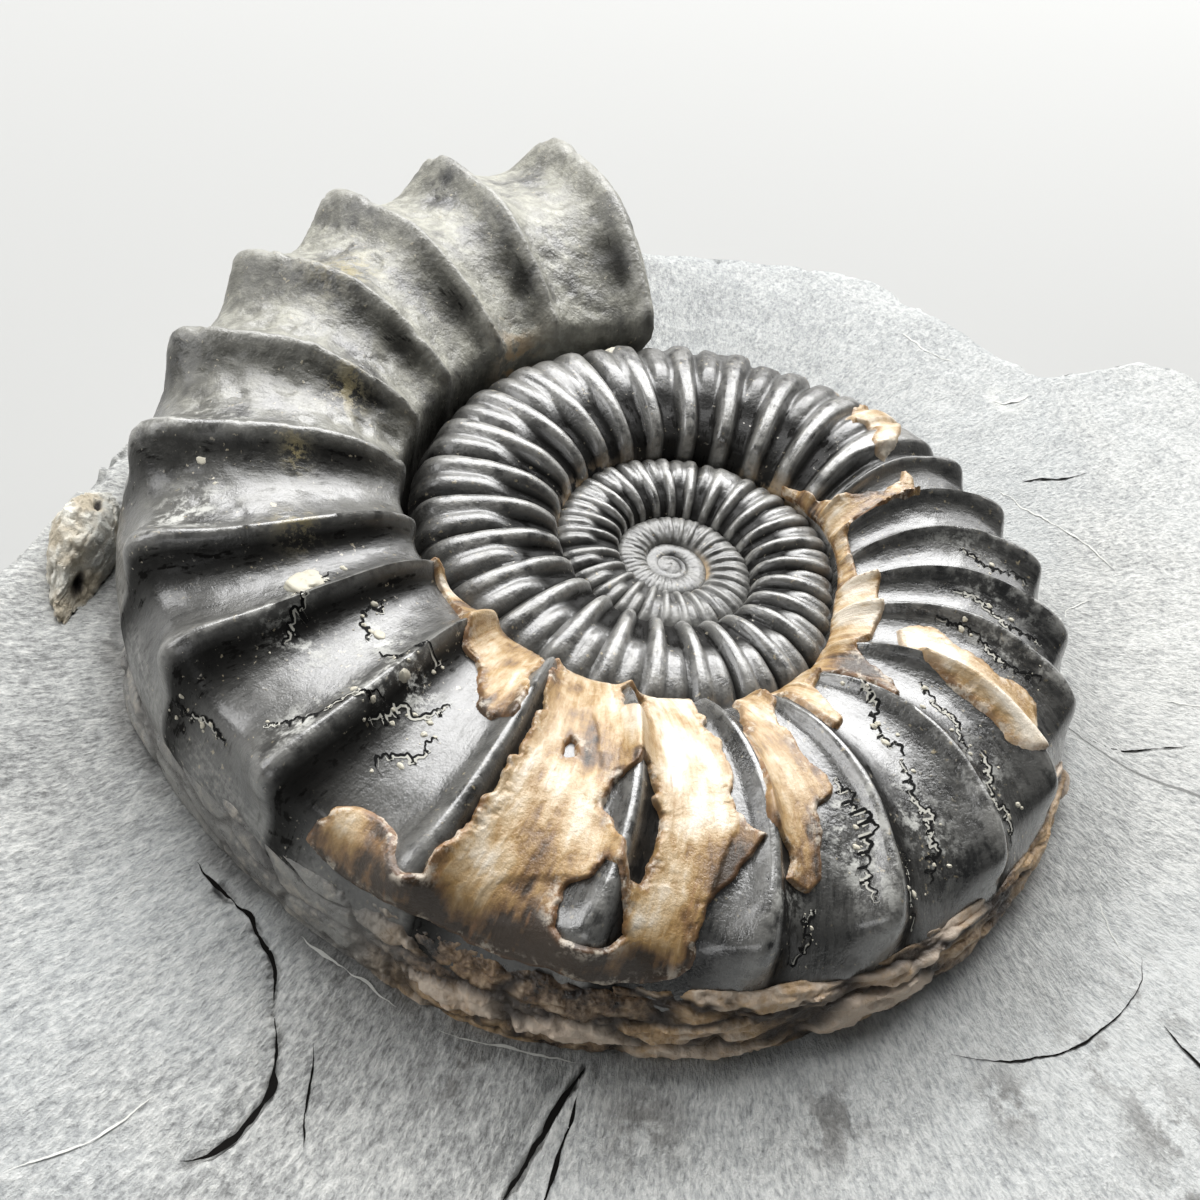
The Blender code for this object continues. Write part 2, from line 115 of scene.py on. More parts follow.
def unit(vectors: Array) -> Array:
    """Scales vectors to length 1."""
    return vectors / np.linalg.norm(vectors, axis=-1, keepdims=True)


def cell_value(cell: Array, seed: int) -> Array:
    """Gives every cell of a lattice its own whole number.

    Args:
        cell: array whose last axis holds the cell's three indices.
        seed: which set of numbers.

    Returns:
        Numbers from 0 to 65535.
    """
    code = (cell[..., 0] * 73856093) ^ (cell[..., 1] * 19349663) ^ (cell[..., 2] * 83492791)
    code = (code ^ (seed * 2654435)) & 0xFFFFFFF
    code = (code * 1103515245 + 12345) & 0x7FFFFFFF
    code = ((code ^ (code >> 13)) * 69069 + 1) & 0x7FFFFFFF
    return code >> 7 & 0xFFFF


@dataclass(frozen=True)
class Grain:
    """Seeded random relief in space, from -1 to 1.

    Attributes:
        size: distance between lumps, in the unit of the points.
        seed: which relief it is.
        octaves: how many finer reliefs are added.
        falloff: height of each octave as a share of the one before.
    """

    size: float
    seed: int = 0
    octaves: int = 3
    falloff: float = 0.5

    def at(self, points: Array) -> Array:
        """Reads the relief.

        Args:
            points: array whose last axis holds x, y, z.

        Returns:
            The relief at each point.
        """
        total = np.zeros(points.shape[:-1])
        height = 1.0
        whole = 0.0
        for octave in range(self.octaves):
            total += height * self._lattice(points * (2.0**octave / self.size), self.seed + 31 * octave)
            whole += height
            height *= self.falloff
        return total / whole

    @staticmethod
    def _lattice(points: Array, seed: int) -> Array:
        """Blends random values at the corners of unit cubes.

        Args:
            points: scaled points.
            seed: which set of values.

        Returns:
            A value from -1 to 1 at each point.
        """
        cell = np.floor(points).astype(np.int64)
        part = points - cell
        part = part * part * part * (part * (part * 6 - 15) + 10)
        total = np.zeros(points.shape[:-1])
        for corner in np.ndindex(2, 2, 2):
            weight = np.where(np.array(corner) == 1, part, 1 - part).prod(axis=-1)
            total += weight * (cell_value(cell + np.array(corner), seed) / 32767.5 - 1)
        return total * 1.4


@dataclass(frozen=True)
class Lumps:
    """Seeded random lumps in space that press against one another.

    Attributes:
        size: distance between lumps, in the unit of the points.
        seed: which lumps they are.
    """

    size: float
    seed: int

    def _feature(self, cell: Array) -> Array:
        """Gives four random numbers from 0 to 1 for each cell."""
        return np.stack([cell_value(cell, self.seed + 17 * channel) / 65535 for channel in range(4)], axis=-1)

    def at(self, points: Array) -> tuple[Array, Array, Array]:
        """Reads the lumps.

        Args:
            points: array whose last axis holds x, y, z.

        Returns:
            Distance to the nearest lump's middle, the gap to its neighbour, and a random number for the lump.
        """
        scaled = points / self.size
        cell = np.floor(scaled).astype(np.int64)
        nearest = np.full(points.shape[:-1], 9.0)
        second = np.full(points.shape[:-1], 9.0)
        value = np.zeros(points.shape[:-1])
        for step in np.ndindex(3, 3, 3):
            other = cell + np.array(step) - 1
            feature = self._feature(other)
            gap = np.linalg.norm(other + 0.15 + 0.7 * feature[..., :3] - scaled, axis=-1)
            closer = gap < nearest
            second = np.where(closer, nearest, np.minimum(second, gap))
            value = np.where(closer, feature[..., 3], value)
            nearest = np.where(closer, gap, nearest)
        return nearest, second - nearest, value


def distance_to_line(points: Array, line: Array) -> Array:
    """Measures how far points in a plane are from a line of straight pieces.

    Args:
        points: array whose last axis holds x, y.
        line: the line's corners.

    Returns:
        The least distance of each point.
    """
    nearest = np.full(points.shape[:-1], np.inf)
    for start, end in zip(line[:-1], line[1:]):
        side = end - start
        along = np.clip(((points - start) @ side) / (side @ side), 0.0, 1.0)
        gap = np.linalg.norm(points - start - along[..., None] * side, axis=-1)
        nearest = np.minimum(nearest, gap)
    return nearest


def inside_depth(points: Array, outline: Array) -> Array:
    """Measures how deep points lie inside a closed outline.

    Args:
        points: array whose last axis holds x, y.
        outline: the corners in order.

    Returns:
        The distance to the outline, positive inside and negative outside.
    """
    closed = np.vstack([outline, outline[:1]])
    crossings = np.zeros(points.shape[:-1], dtype=int)
    for start, end in zip(closed[:-1], closed[1:]):
        rises = (start[1] > points[..., 1]) != (end[1] > points[..., 1])
        height = end[1] - start[1]
        across = start[0] + (end[0] - start[0]) * (points[..., 1] - start[1]) / (height if height else 1.0)
        crossings += rises & (points[..., 0] < across)
    sign = np.where(crossings % 2 == 1, 1.0, -1.0)
    return sign * distance_to_line(points, closed)


class Section:
    """The whorl's cross-section as one smooth curve through its stations."""

    # Share of whorl height, height, rib relief and relief direction. Lengths are shares of the whorl radius.
    STATIONS = np.array(
        (
            (-0.030, -0.010, 0.000, 90.0),
            (0.000, 0.050, 0.000, 100.0),
            (0.020, 0.080, 0.007, 118.0),
            (0.080, 0.116, 0.030, 108.0),
            (0.240, 0.153, 0.046, 94.0),
            (0.450, 0.166, 0.048, 88.0),
            (0.660, 0.150, 0.052, 75.0),
            (0.840, 0.112, 0.059, 45.0),
            (0.930, 0.058, 0.014, 20.0),
            (0.980, 0.000, 0.000, 0.0),
            (0.965, -0.075, 0.000, 0.0),
            (0.900, -0.125, 0.000, 0.0),
        )
    )
    KEEL_STATION = 9
    FINE_STEPS = 400

    def __init__(self) -> None:
        """Lays the curve out by its length."""
        knots = self.STATIONS
        gaps = np.linalg.norm(np.diff(knots[:, :2], axis=0), axis=1)
        self.places = np.concatenate([[0.0], np.cumsum(gaps)])
        slopes = np.empty_like(knots)
        slopes[1:-1] = (knots[2:] - knots[:-2]) / (self.places[2:] - self.places[:-2])[:, None]
        slopes[0] = (knots[1] - knots[0]) / gaps[0]
        slopes[-1] = (knots[-1] - knots[-2]) / gaps[-1]
        self.slopes = slopes
        self.keel = self.places[self.KEEL_STATION]
        self.end = self.places[-1]
        self._flank = np.linspace(0.0, self.keel, self.FINE_STEPS)
        self._flank_shares = np.maximum.accumulate(self.at(self._flank)[0])

    def at(self, place: Array) -> tuple[Array, Array, Array, Array]:
        """Reads the section.

        Args:
            place: distance along the section.

        Returns:
            Share, height, rib relief and relief direction in degrees.
        """
        index = np.clip(np.searchsorted(self.places, place, side="right") - 1, 0, len(self.places) - 2)
        gap = self.places[index + 1] - self.places[index]
        part = ((place - self.places[index]) / gap)[..., None]
        step = gap[..., None]
        first, second = self.STATIONS[index], self.STATIONS[index + 1]
        value = (
            first * (1 + part * part * (2 * part - 3))
            + second * part * part * (3 - 2 * part)
            + self.slopes[index] * step * part * (1 - part) ** 2
            + self.slopes[index + 1] * step * part * part * (part - 1)
        )
        return value[..., 0], value[..., 1], value[..., 2], value[..., 3]

    def place_of(self, share: Array) -> Array:
        """Finds where along the flank a share of the whorl height lies."""
        return np.interp(share, self._flank_shares, self._flank)


@dataclass(frozen=True)
class Coil:
    """The ammonite's spiral, section and ribs.

    A place is a whorl angle and how many degrees it spreads. A range is where something begins and where it
    is full. The widths of coarse ribs are shares of their spacing.

    Attributes:
        venter_radius: coil axis to venter at whorl angle 0.
        growth: natural log of the radius gained per radian.
        bearing: bearing of whorl angle 0, anticlockwise from +X.
        end_angle: whorl angle of the broken end.
        seam_radius: seam's radius as a share of the whorl radius.
        seam_dip: share by which the seam is drawn in, and its place.
        squeeze: share by which the last whorl is lower, and its place.
        covered: share of the whorl height at which the next whorl's seam lies.
        chamber_slope, slope_range: share by which the body chamber falls towards its seam, and its range.
        crevice_range: range of the gap along the body chamber's seam.
        crevice_width, crevice_depth: the gap's size in whorl radii.
        second_crevice: strength and place of the gap along an inner seam.
        forward_lean: degrees that a rib runs ahead at the seam.
        backward_curl, curl_place: degrees that a rib's middle lies behind, and its place.
        chamber_bow: the same for the last ribs.
        end_flare, flare_range: degrees that the broken end runs ahead at the seam, and its range.
        coarse_crests, fine_crests: whorl angles of the ribs.
        coarse_range: range over which fine ribs turn into coarse ones.
        steep_width, gentle_width: widths of a coarse rib's two sides.
        chamber_steep, steep_range: what the steep side gains on the body chamber, and its range.
        cord_width, cord_share: width of the cord on a coarse crest, and its share of the height.
        club: shares of the whorl height between which the cord thickens, and by how much.
        nucleus_gap, fine_end: degrees between the innermost ribs and the whorl angle at which they end.
        fine_relief: height of a fine rib beside a coarse one.
        primary_width, branch_width: half widths of a fine rib and of its branch, in degrees.
        branch_offset, branch_range, branch_height: degrees to the branch, its range and its height.
        front_pull: share by which the venter is drawn in, and its place.
        worn_range: range over which the ribs rise from the worn nucleus.
        section: the whorl's cross-section.
    """

    venter_radius: float = 0.048
    growth: float = 0.1231
    bearing: float = 130.1
    end_angle: float = 12.0
    seam_radius: float = 0.431
    seam_dip: Triple = (0.093, -229.0, 25.0)
    squeeze: Triple = (0.096, -53.4, 47.8)
    covered: float = 0.884
    chamber_slope: float = 0.42
    slope_range: Pair = (-110.0, -20.0)
    crevice_range: Pair = (-115.0, -70.0)
    crevice_width: float = 0.034
    crevice_depth: float = 0.070
    second_crevice: Triple = (0.75, -322.0, 26.0)
    forward_lean: float = 5.0
    backward_curl: float = 5.0
    curl_place: Pair = (-215.0, 75.0)
    chamber_bow: Triple = (4.2, -79.0, 17.0)
    end_flare: float = 6.0
    flare_range: Pair = (-4.0, 12.0)
    coarse_crests: tuple[float, ...] = (
        10.5, -4.0, -18.5, -34.5, -50.5, -66.0, -82.0, -95.5, -111.5, -127.0, -143.5, -160.0, -174.5, -191.0,
        -205.5, -221.0, -234.0, -248.0, -260.5, -272.0,
    )  # fmt: skip
    coarse_range: Pair = (-278.0, -272.0)
    steep_width: float = 0.15
    chamber_steep: float = 0.09
    steep_range: Pair = (-105.0, -60.0)
    gentle_width: float = 0.30
    cord_width: float = 0.09
    cord_share: float = 0.40
    club: Triple = (0.66, 0.88, 1.7)
    fine_crests: tuple[float, ...] = (
        -281.0, -294.0, -307.0, -320.0, -333.0, -346.0, -359.5, -372.0, -385.5, -398.5, -412.5, -426.5,
        -440.0, -453.5, -467.0, -480.0, -493.0, -506.0, -519.5, -533.5, -547.5, -562.0, -576.0, -590.0,
        -604.5, -618.5, -632.0, -646.0, -659.5, -671.5, -685.5, -698.5, -712.0, -726.5, -740.5, -753.0,
        -766.0, -779.0, -797.0, -812.0, -827.0, -841.0, -855.0, -868.0, -881.0,
    )  # fmt: skip
    nucleus_gap: float = 13.5
    fine_end: float = -1800.0
    fine_relief: float = 1.12
    primary_width: float = 3.2
    branch_offset: float = 6.3
    branch_width: float = 3.0
    branch_range: Pair = (0.26, 0.56)
    branch_height: float = 0.88
    front_pull: Triple = (0.030, -113.0, 21.0)
    worn_range: Pair = (-1500.0, -760.0)
    section: Section = field(default_factory=Section)

    @property
    def outer_start(self) -> float:
        """Whorl angle at which the last whorl begins."""
        return self.end_angle - TURN

    def angle_at(self, bearing: Array) -> Array:
        """Finds the last whorl's angle at a bearing."""
        return (self.bearing - bearing - self.outer_start) % TURN + self.outer_start

    def whorl_radius(self, angle: Array) -> Array:
        """Gives the radius of the venter's spiral."""
        return self.venter_radius * np.exp(self.growth * np.radians(angle))

    def seam_share(self, angle: Array) -> Array:
        """Gives the seam's radius as a share of the whorl radius."""
        depth, centre, width = self.seam_dip
        return self.seam_radius * (1 - depth * bell(angle, centre, width))

    def radius_at(self, angle: Array, share: Array) -> Array:
        """Finds the radius at a share of the whorl height.

        Args:
            angle: whorl angles.
            share: shares of the whorl height.

        Returns:
            The distance from the coil axis.
        """
        depth, centre, width = self.squeeze
        ratio = math.exp(self.growth * math.tau)
        seam = self.seam_share(angle)
        inner = (ratio * self.seam_share(angle + TURN) - seam) / self.covered
        outer = 1 - depth * bell(angle, centre, width) - seam
        pull, middle, reach = self.front_pull
        pulled = pull * bell(angle, middle, reach) * smoothstep(0.82, 0.98, share)
        height = np.where(angle < self.outer_start, inner, outer)
        return self.whorl_radius(angle) * (seam + share * height - pulled)

    def between_crests(self, angle: Array) -> tuple[Array, Array, Array]:
        """Finds the crests on either side of whorl angles.

        Args:
            angle: whorl angles, counted along the ribs.

        Returns:
            Degrees past the last crest, degrees to the next one and degrees between the two.
        """
        nucleus = np.arange(self.fine_crests[-1] - self.nucleus_gap, self.fine_end, -self.nucleus_gap)
        crests = np.concatenate([self.coarse_crests, self.fine_crests, nucleus])[::-1]
        index = np.clip(np.searchsorted(crests, angle), 1, len(crests) - 1)
        last, following = crests[index - 1], crests[index]
        return angle - last, following - angle, following - last

    def rib_height(self, angle: Array, share: Array) -> Array:
        """Measures how high the ribs stand.

        Args:
            angle: whorl angles, counted along the ribs.
            share: shares of the whorl height.

        Returns:
            1 on the crest of a coarse rib, near 0 in a furrow.
        """
        past, ahead, gap = self.between_crests(angle)
        rise = past / gap
        fall = 1 - rise
        steep = self.steep_width + self.chamber_steep * smoothstep(*self.steep_range, angle)
        gentle_side = np.exp(-((np.clip(rise, 0, 1) / self.gentle_width) ** 1.5))
        body = gentle_side + np.exp(-((np.clip(fall, 0, 1) / steep) ** 1.5))
        nearest = np.minimum(np.abs(rise), np.abs(fall))
        start, end, wider = self.club
        club = smoothstep(start, end, share)
        cord = np.exp(-((nearest / (self.cord_width * (1 + wider * club))) ** 2))
        cord_share = self.cord_share + 0.3 * club
        coarse = (1 - cord_share) * body + cord_share * cord
        main = np.exp(-((np.minimum(past, ahead) / self.primary_width) ** 4))
        branch = np.exp(-((np.abs(ahead - self.branch_offset) / self.branch_width) ** 4))
        branch = branch * smoothstep(*self.branch_range, share) * self.branch_height
        fine = self.fine_relief * np.minimum(main + branch, 1.0) * (1 - 0.5 * smoothstep(0.66, 0.93, share))
        is_coarse = smoothstep(*self.coarse_range, angle)
        height = coarse * is_coarse + fine * (1 - is_coarse)
        return height * smoothstep(*self.worn_range, angle)

    def shade(self, angle: Array, share: Array) -> Array:
        """Finds where shade is painted: the furrows between fine ribs and the steep sides of coarse ones.

        Args:
            angle: whorl angles, counted along the ribs.
            share: shares of the whorl height.

        Returns:
            1 where the painted shade is darkest, 0 where none is painted.
        """
        _, ahead, gap = self.between_crests(angle)
        fall = ahead / gap
        steep = smoothstep(0.03, 0.10, fall) * smoothstep(0.47, 0.15, fall) * smoothstep(0.03, 0.25, share)
        furrow = smoothstep(0.62, 0.18, self.rib_height(angle, share)) * smoothstep(-1000.0, -760.0, angle)
        is_coarse = smoothstep(*self.coarse_range, angle)
        return steep * is_coarse + furrow * (1 - is_coarse)

    def lean(self, angle: Array, share: Array) -> Array:
        """Measures how far a rib runs ahead of its spine end.

        Args:
            angle: whorl angles.
            share: shares of the whorl height.

        Returns:
            Degrees of whorl angle.
        """
        towards_seam = np.clip(1 - share / 0.84, 0.0, 1.03)
        arch = np.sin(math.pi * np.minimum(towards_seam, 1.0))
        depth, *bow_place = self.chamber_bow
        curl = self.backward_curl * bell(angle, *self.curl_place) * arch
        curl = curl + depth * bell(angle, *bow_place) * arch
        flare = self.end_flare * smoothstep(*self.flare_range, angle) * towards_seam
        flare = flare * smoothstep(0.015, 0.07, share)
        return self.forward_lean * towards_seam**2 - curl + flare

    def rib_angle(self, angle: Array, share: Array) -> Array:
        """Turns true whorl angles into angles counted along the ribs."""
        guess = angle - self.lean(angle, share)
        return angle - self.lean(guess, share)

    def surface(self, angle: Array, place: Array, lift: Array | float = 0.0) -> Array:
        """Finds points of the mould.

        Args:
            angle: whorl angles counted along the ribs.
            place: distances along the section.
            lift: height above the mould, in metres.

        Returns:
            Points about the coil axis.
        """
        angle, place = np.broadcast_arrays(np.asarray(angle, float), np.asarray(place, float))
        share, height, relief, direction = self.section.at(place)
        radius = self.whorl_radius(angle)
        towards_seam = np.maximum(1 - share / 0.45, 0.0)
        sloped = self.chamber_slope * smoothstep(*self.slope_range, angle)
        height = height * (1 - sloped * np.minimum(towards_seam, 1))
        strength, *inner_place = self.second_crevice
        crevice = smoothstep(*self.crevice_range, angle) + strength * bell(angle, *inner_place)
        crevice = crevice * smoothstep(0.10, 0.0, share)
        raised = radius * relief * self.rib_height(angle, share) + lift
        slope = np.radians(direction)
        out = self.radius_at(angle, share) + radius * self.crevice_width * crevice + raised * np.cos(slope)
        level = radius * (height - self.crevice_depth * crevice) + raised * np.sin(slope)
        return with_level(out[..., None] * rays(self.bearing - angle - self.lean(angle, share)), level)

    def venter(self, angle: Array) -> Array:
        """Gives the keel's radius."""
        return self.radius_at(angle, np.full_like(angle, KEEL_SHARE))


COIL = Coil()


@dataclass
class Skin:
    """Vertices and faces on their way to becoming a mesh, about the coil axis.

    Attributes:
        points: vertices.
        quads: faces with four corners.
        triangles: faces with three corners.
        marks: named numbers or vectors, one for each vertex.
    """

    points: Array
    quads: Array
    triangles: Array = field(default_factory=lambda: np.zeros((0, 3), int))
    marks: dict[str, Array] = field(default_factory=dict)

    @classmethod
    def from_grid(cls, points: Array, keep: Array | None = None, closed: bool = False) -> Skin:
        """Joins a grid of points with quads.

        Args:
            points: array of rows, columns and x, y, z.
            keep: which cells are wanted.
            closed: whether the last row joins the first.

        Returns:
            The skin, still holding the points that no cell uses.
        """
        rows, columns = points.shape[:2]
        index = np.arange(rows * columns).reshape(rows, columns)
        if closed:
            index = np.vstack([index, index[:1]])
        quads = np.stack([index[:-1, :-1], index[1:, :-1], index[1:, 1:], index[:-1, 1:]], axis=-1)
        chosen = quads.reshape(-1, 4) if keep is None else quads[keep]
        return cls(points.reshape(-1, 3), chosen)

    def mark(self, name: str, values: Array) -> None:
        """Stores named numbers or vectors for the vertices."""
        width = values.shape[-1] if values.shape[-1:] == (3,) and values.size == self.points.size else 1
        self.marks[name] = values.reshape(-1, 3) if width == 3 else values.reshape(-1)

    def with_skin(self, other: Skin) -> Skin:
        """Joins two skins.

        Args:
            other: the skin to add. Marks that only one of them has are 0 on the other.

        Returns:
            One skin that holds both.
        """
        first = len(self.points)
        marks = {}
        for name, values in {**other.marks, **self.marks}.items():
            shape = values.shape[1:]
            here = self.marks.get(name, np.zeros((first, *shape)))
            there = other.marks.get(name, np.zeros((len(other.points), *shape)))
            marks[name] = np.concatenate([here, there])
        return Skin(
            np.vstack([self.points, other.points]),
            np.vstack([self.quads, other.quads + first]),
            np.vstack([self.triangles, other.triangles + first]),
            marks,
        )

    def make(self, name: str, finish: Material, sharp: float = 60.0) -> Piece:
        """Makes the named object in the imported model's frame.

        Args:
            name: the object's name.
            finish: its material.
            sharp: edges bent further than this many degrees stay crisp.

        Returns:
            The object.
        """
        used = np.zeros(len(self.points), bool)
        used[self.quads.ravel()] = True
        used[self.triangles.ravel()] = True
        order = np.cumsum(used) - 1
        quads, triangles = order[self.quads], order[self.triangles]
        corners = np.concatenate([quads.ravel(), triangles.ravel()])
        starts = np.concatenate([np.arange(len(quads)) * 4, 4 * len(quads) + np.arange(len(triangles)) * 3])
        totals = np.concatenate([np.full(len(quads), 4), np.full(len(triangles), 3)])
        points = self.points[used] + np.array([*AXIS_PLAN, BASE_DEPTH])
        mesh = bpy.data.meshes.new(name)
        mesh.vertices.add(len(points))
        mesh.vertices.foreach_set("co", points.astype(np.float32).ravel())
        mesh.loops.add(len(corners))
        mesh.loops.foreach_set("vertex_index", corners.astype(np.int32))
        mesh.polygons.add(len(starts))
        mesh.polygons.foreach_set("loop_start", starts.astype(np.int32))
        mesh.polygons.foreach_set("loop_total", totals.astype(np.int32))
        mesh.update(calc_edges=True)
        mesh.validate()
        for label, values in self.marks.items():
            kind, key = ("FLOAT_VECTOR", "vector") if values.ndim == 2 else ("FLOAT", "value")
            layer = mesh.attributes.new(label, kind, "POINT")
            layer.data.foreach_set(key, values[used].astype(np.float32).ravel())
        mesh.materials.append(finish)
        mesh.shade_smooth()
        mesh.set_sharp_from_angle(angle=math.radians(sharp))
        made = bpy.data.objects.new(name, mesh)
        bpy.context.scene.collection.objects.link(made)
        LOG.info("%s: %d vertices, %d faces", name, len(points), len(starts))
        return made


def along_coil(angle: Array, share: Array) -> Array:
    """Measures a place on the coil in millimetres along and across the whorl.

    Args:
        angle: whorl angles counted along the ribs.
        share: shares of the whorl height.

    Returns:
        Vectors of length along the whorl, height across it and 0.
    """
    angle, share = np.broadcast_arrays(angle, share)
    radius = COIL.whorl_radius(angle) / MM
    along = radius * MIDDLE_REACH / COIL.growth
    return np.stack([along, share * radius * PLAN_HEIGHT, np.zeros_like(along)], axis=-1)


@dataclass(frozen=True)
class Patch:
    """A soft patch of powder or stain on the mould.

    Attributes:
        angle: true whorl angle of its middle.
        width: how many degrees it spreads.
        share: share of the whorl height of its middle.
        spread: how far it spreads across, as a share of the whorl height.
        strength: how much of it there is in the middle.
    """

    angle: float
    width: float
    share: float
    spread: float
    strength: float = 1.0


WHITE_POWDER = (
    Patch(-104.0, 3.5, 0.40, 0.07, 0.9), Patch(-113.0, 4.0, 0.48, 0.10, 1.0),
    Patch(-100.0, 4.0, 0.60, 0.07, 0.8), Patch(-109.5, 2.0, 0.72, 0.08, 0.8),
    Patch(-93.0, 1.2, 0.54, 0.03, 1.0), Patch(-174.0, 4.0, 0.58, 0.08, 0.8),
    Patch(-163.0, 2.0, 0.75, 0.06, 0.8), Patch(-197.0, 4.0, 0.68, 0.12, 0.8),
    Patch(-184.0, 3.0, 0.66, 0.16, 0.85), Patch(-173.0, 2.4, 0.66, 0.16, 0.85),
    Patch(-222.0, 3.0, 0.60, 0.20, 0.45), Patch(-236.0, 5.0, 0.60, 0.20, 0.45),
    Patch(-250.0, 5.0, 0.50, 0.20, 0.40), Patch(-64.0, 3.0, 0.72, 0.14, 0.7),
    Patch(-78.0, 4.0, 0.74, 0.12, 0.8),
)  # fmt: skip
OLIVE = (
    Patch(-84.5, 3.0, 0.46, 0.06), Patch(-70.0, 2.5, 0.42, 0.04), Patch(-52.0, 4.0, 0.30, 0.06),
    Patch(-30.0, 5.0, 0.55, 0.08),
)  # fmt: skip
TAN = (
    Patch(-388.0, 34.0, 0.0, 0.035), Patch(-950.0, 42.0, 0.0, 0.05), Patch(-292.0, 14.0, 0.0, 0.04),
    Patch(-300.0, 8.0, 0.86, 0.06), Patch(-318.0, 6.0, 0.90, 0.05), Patch(-9.0, 5.0, 0.05, 0.06),
)  # fmt: skip


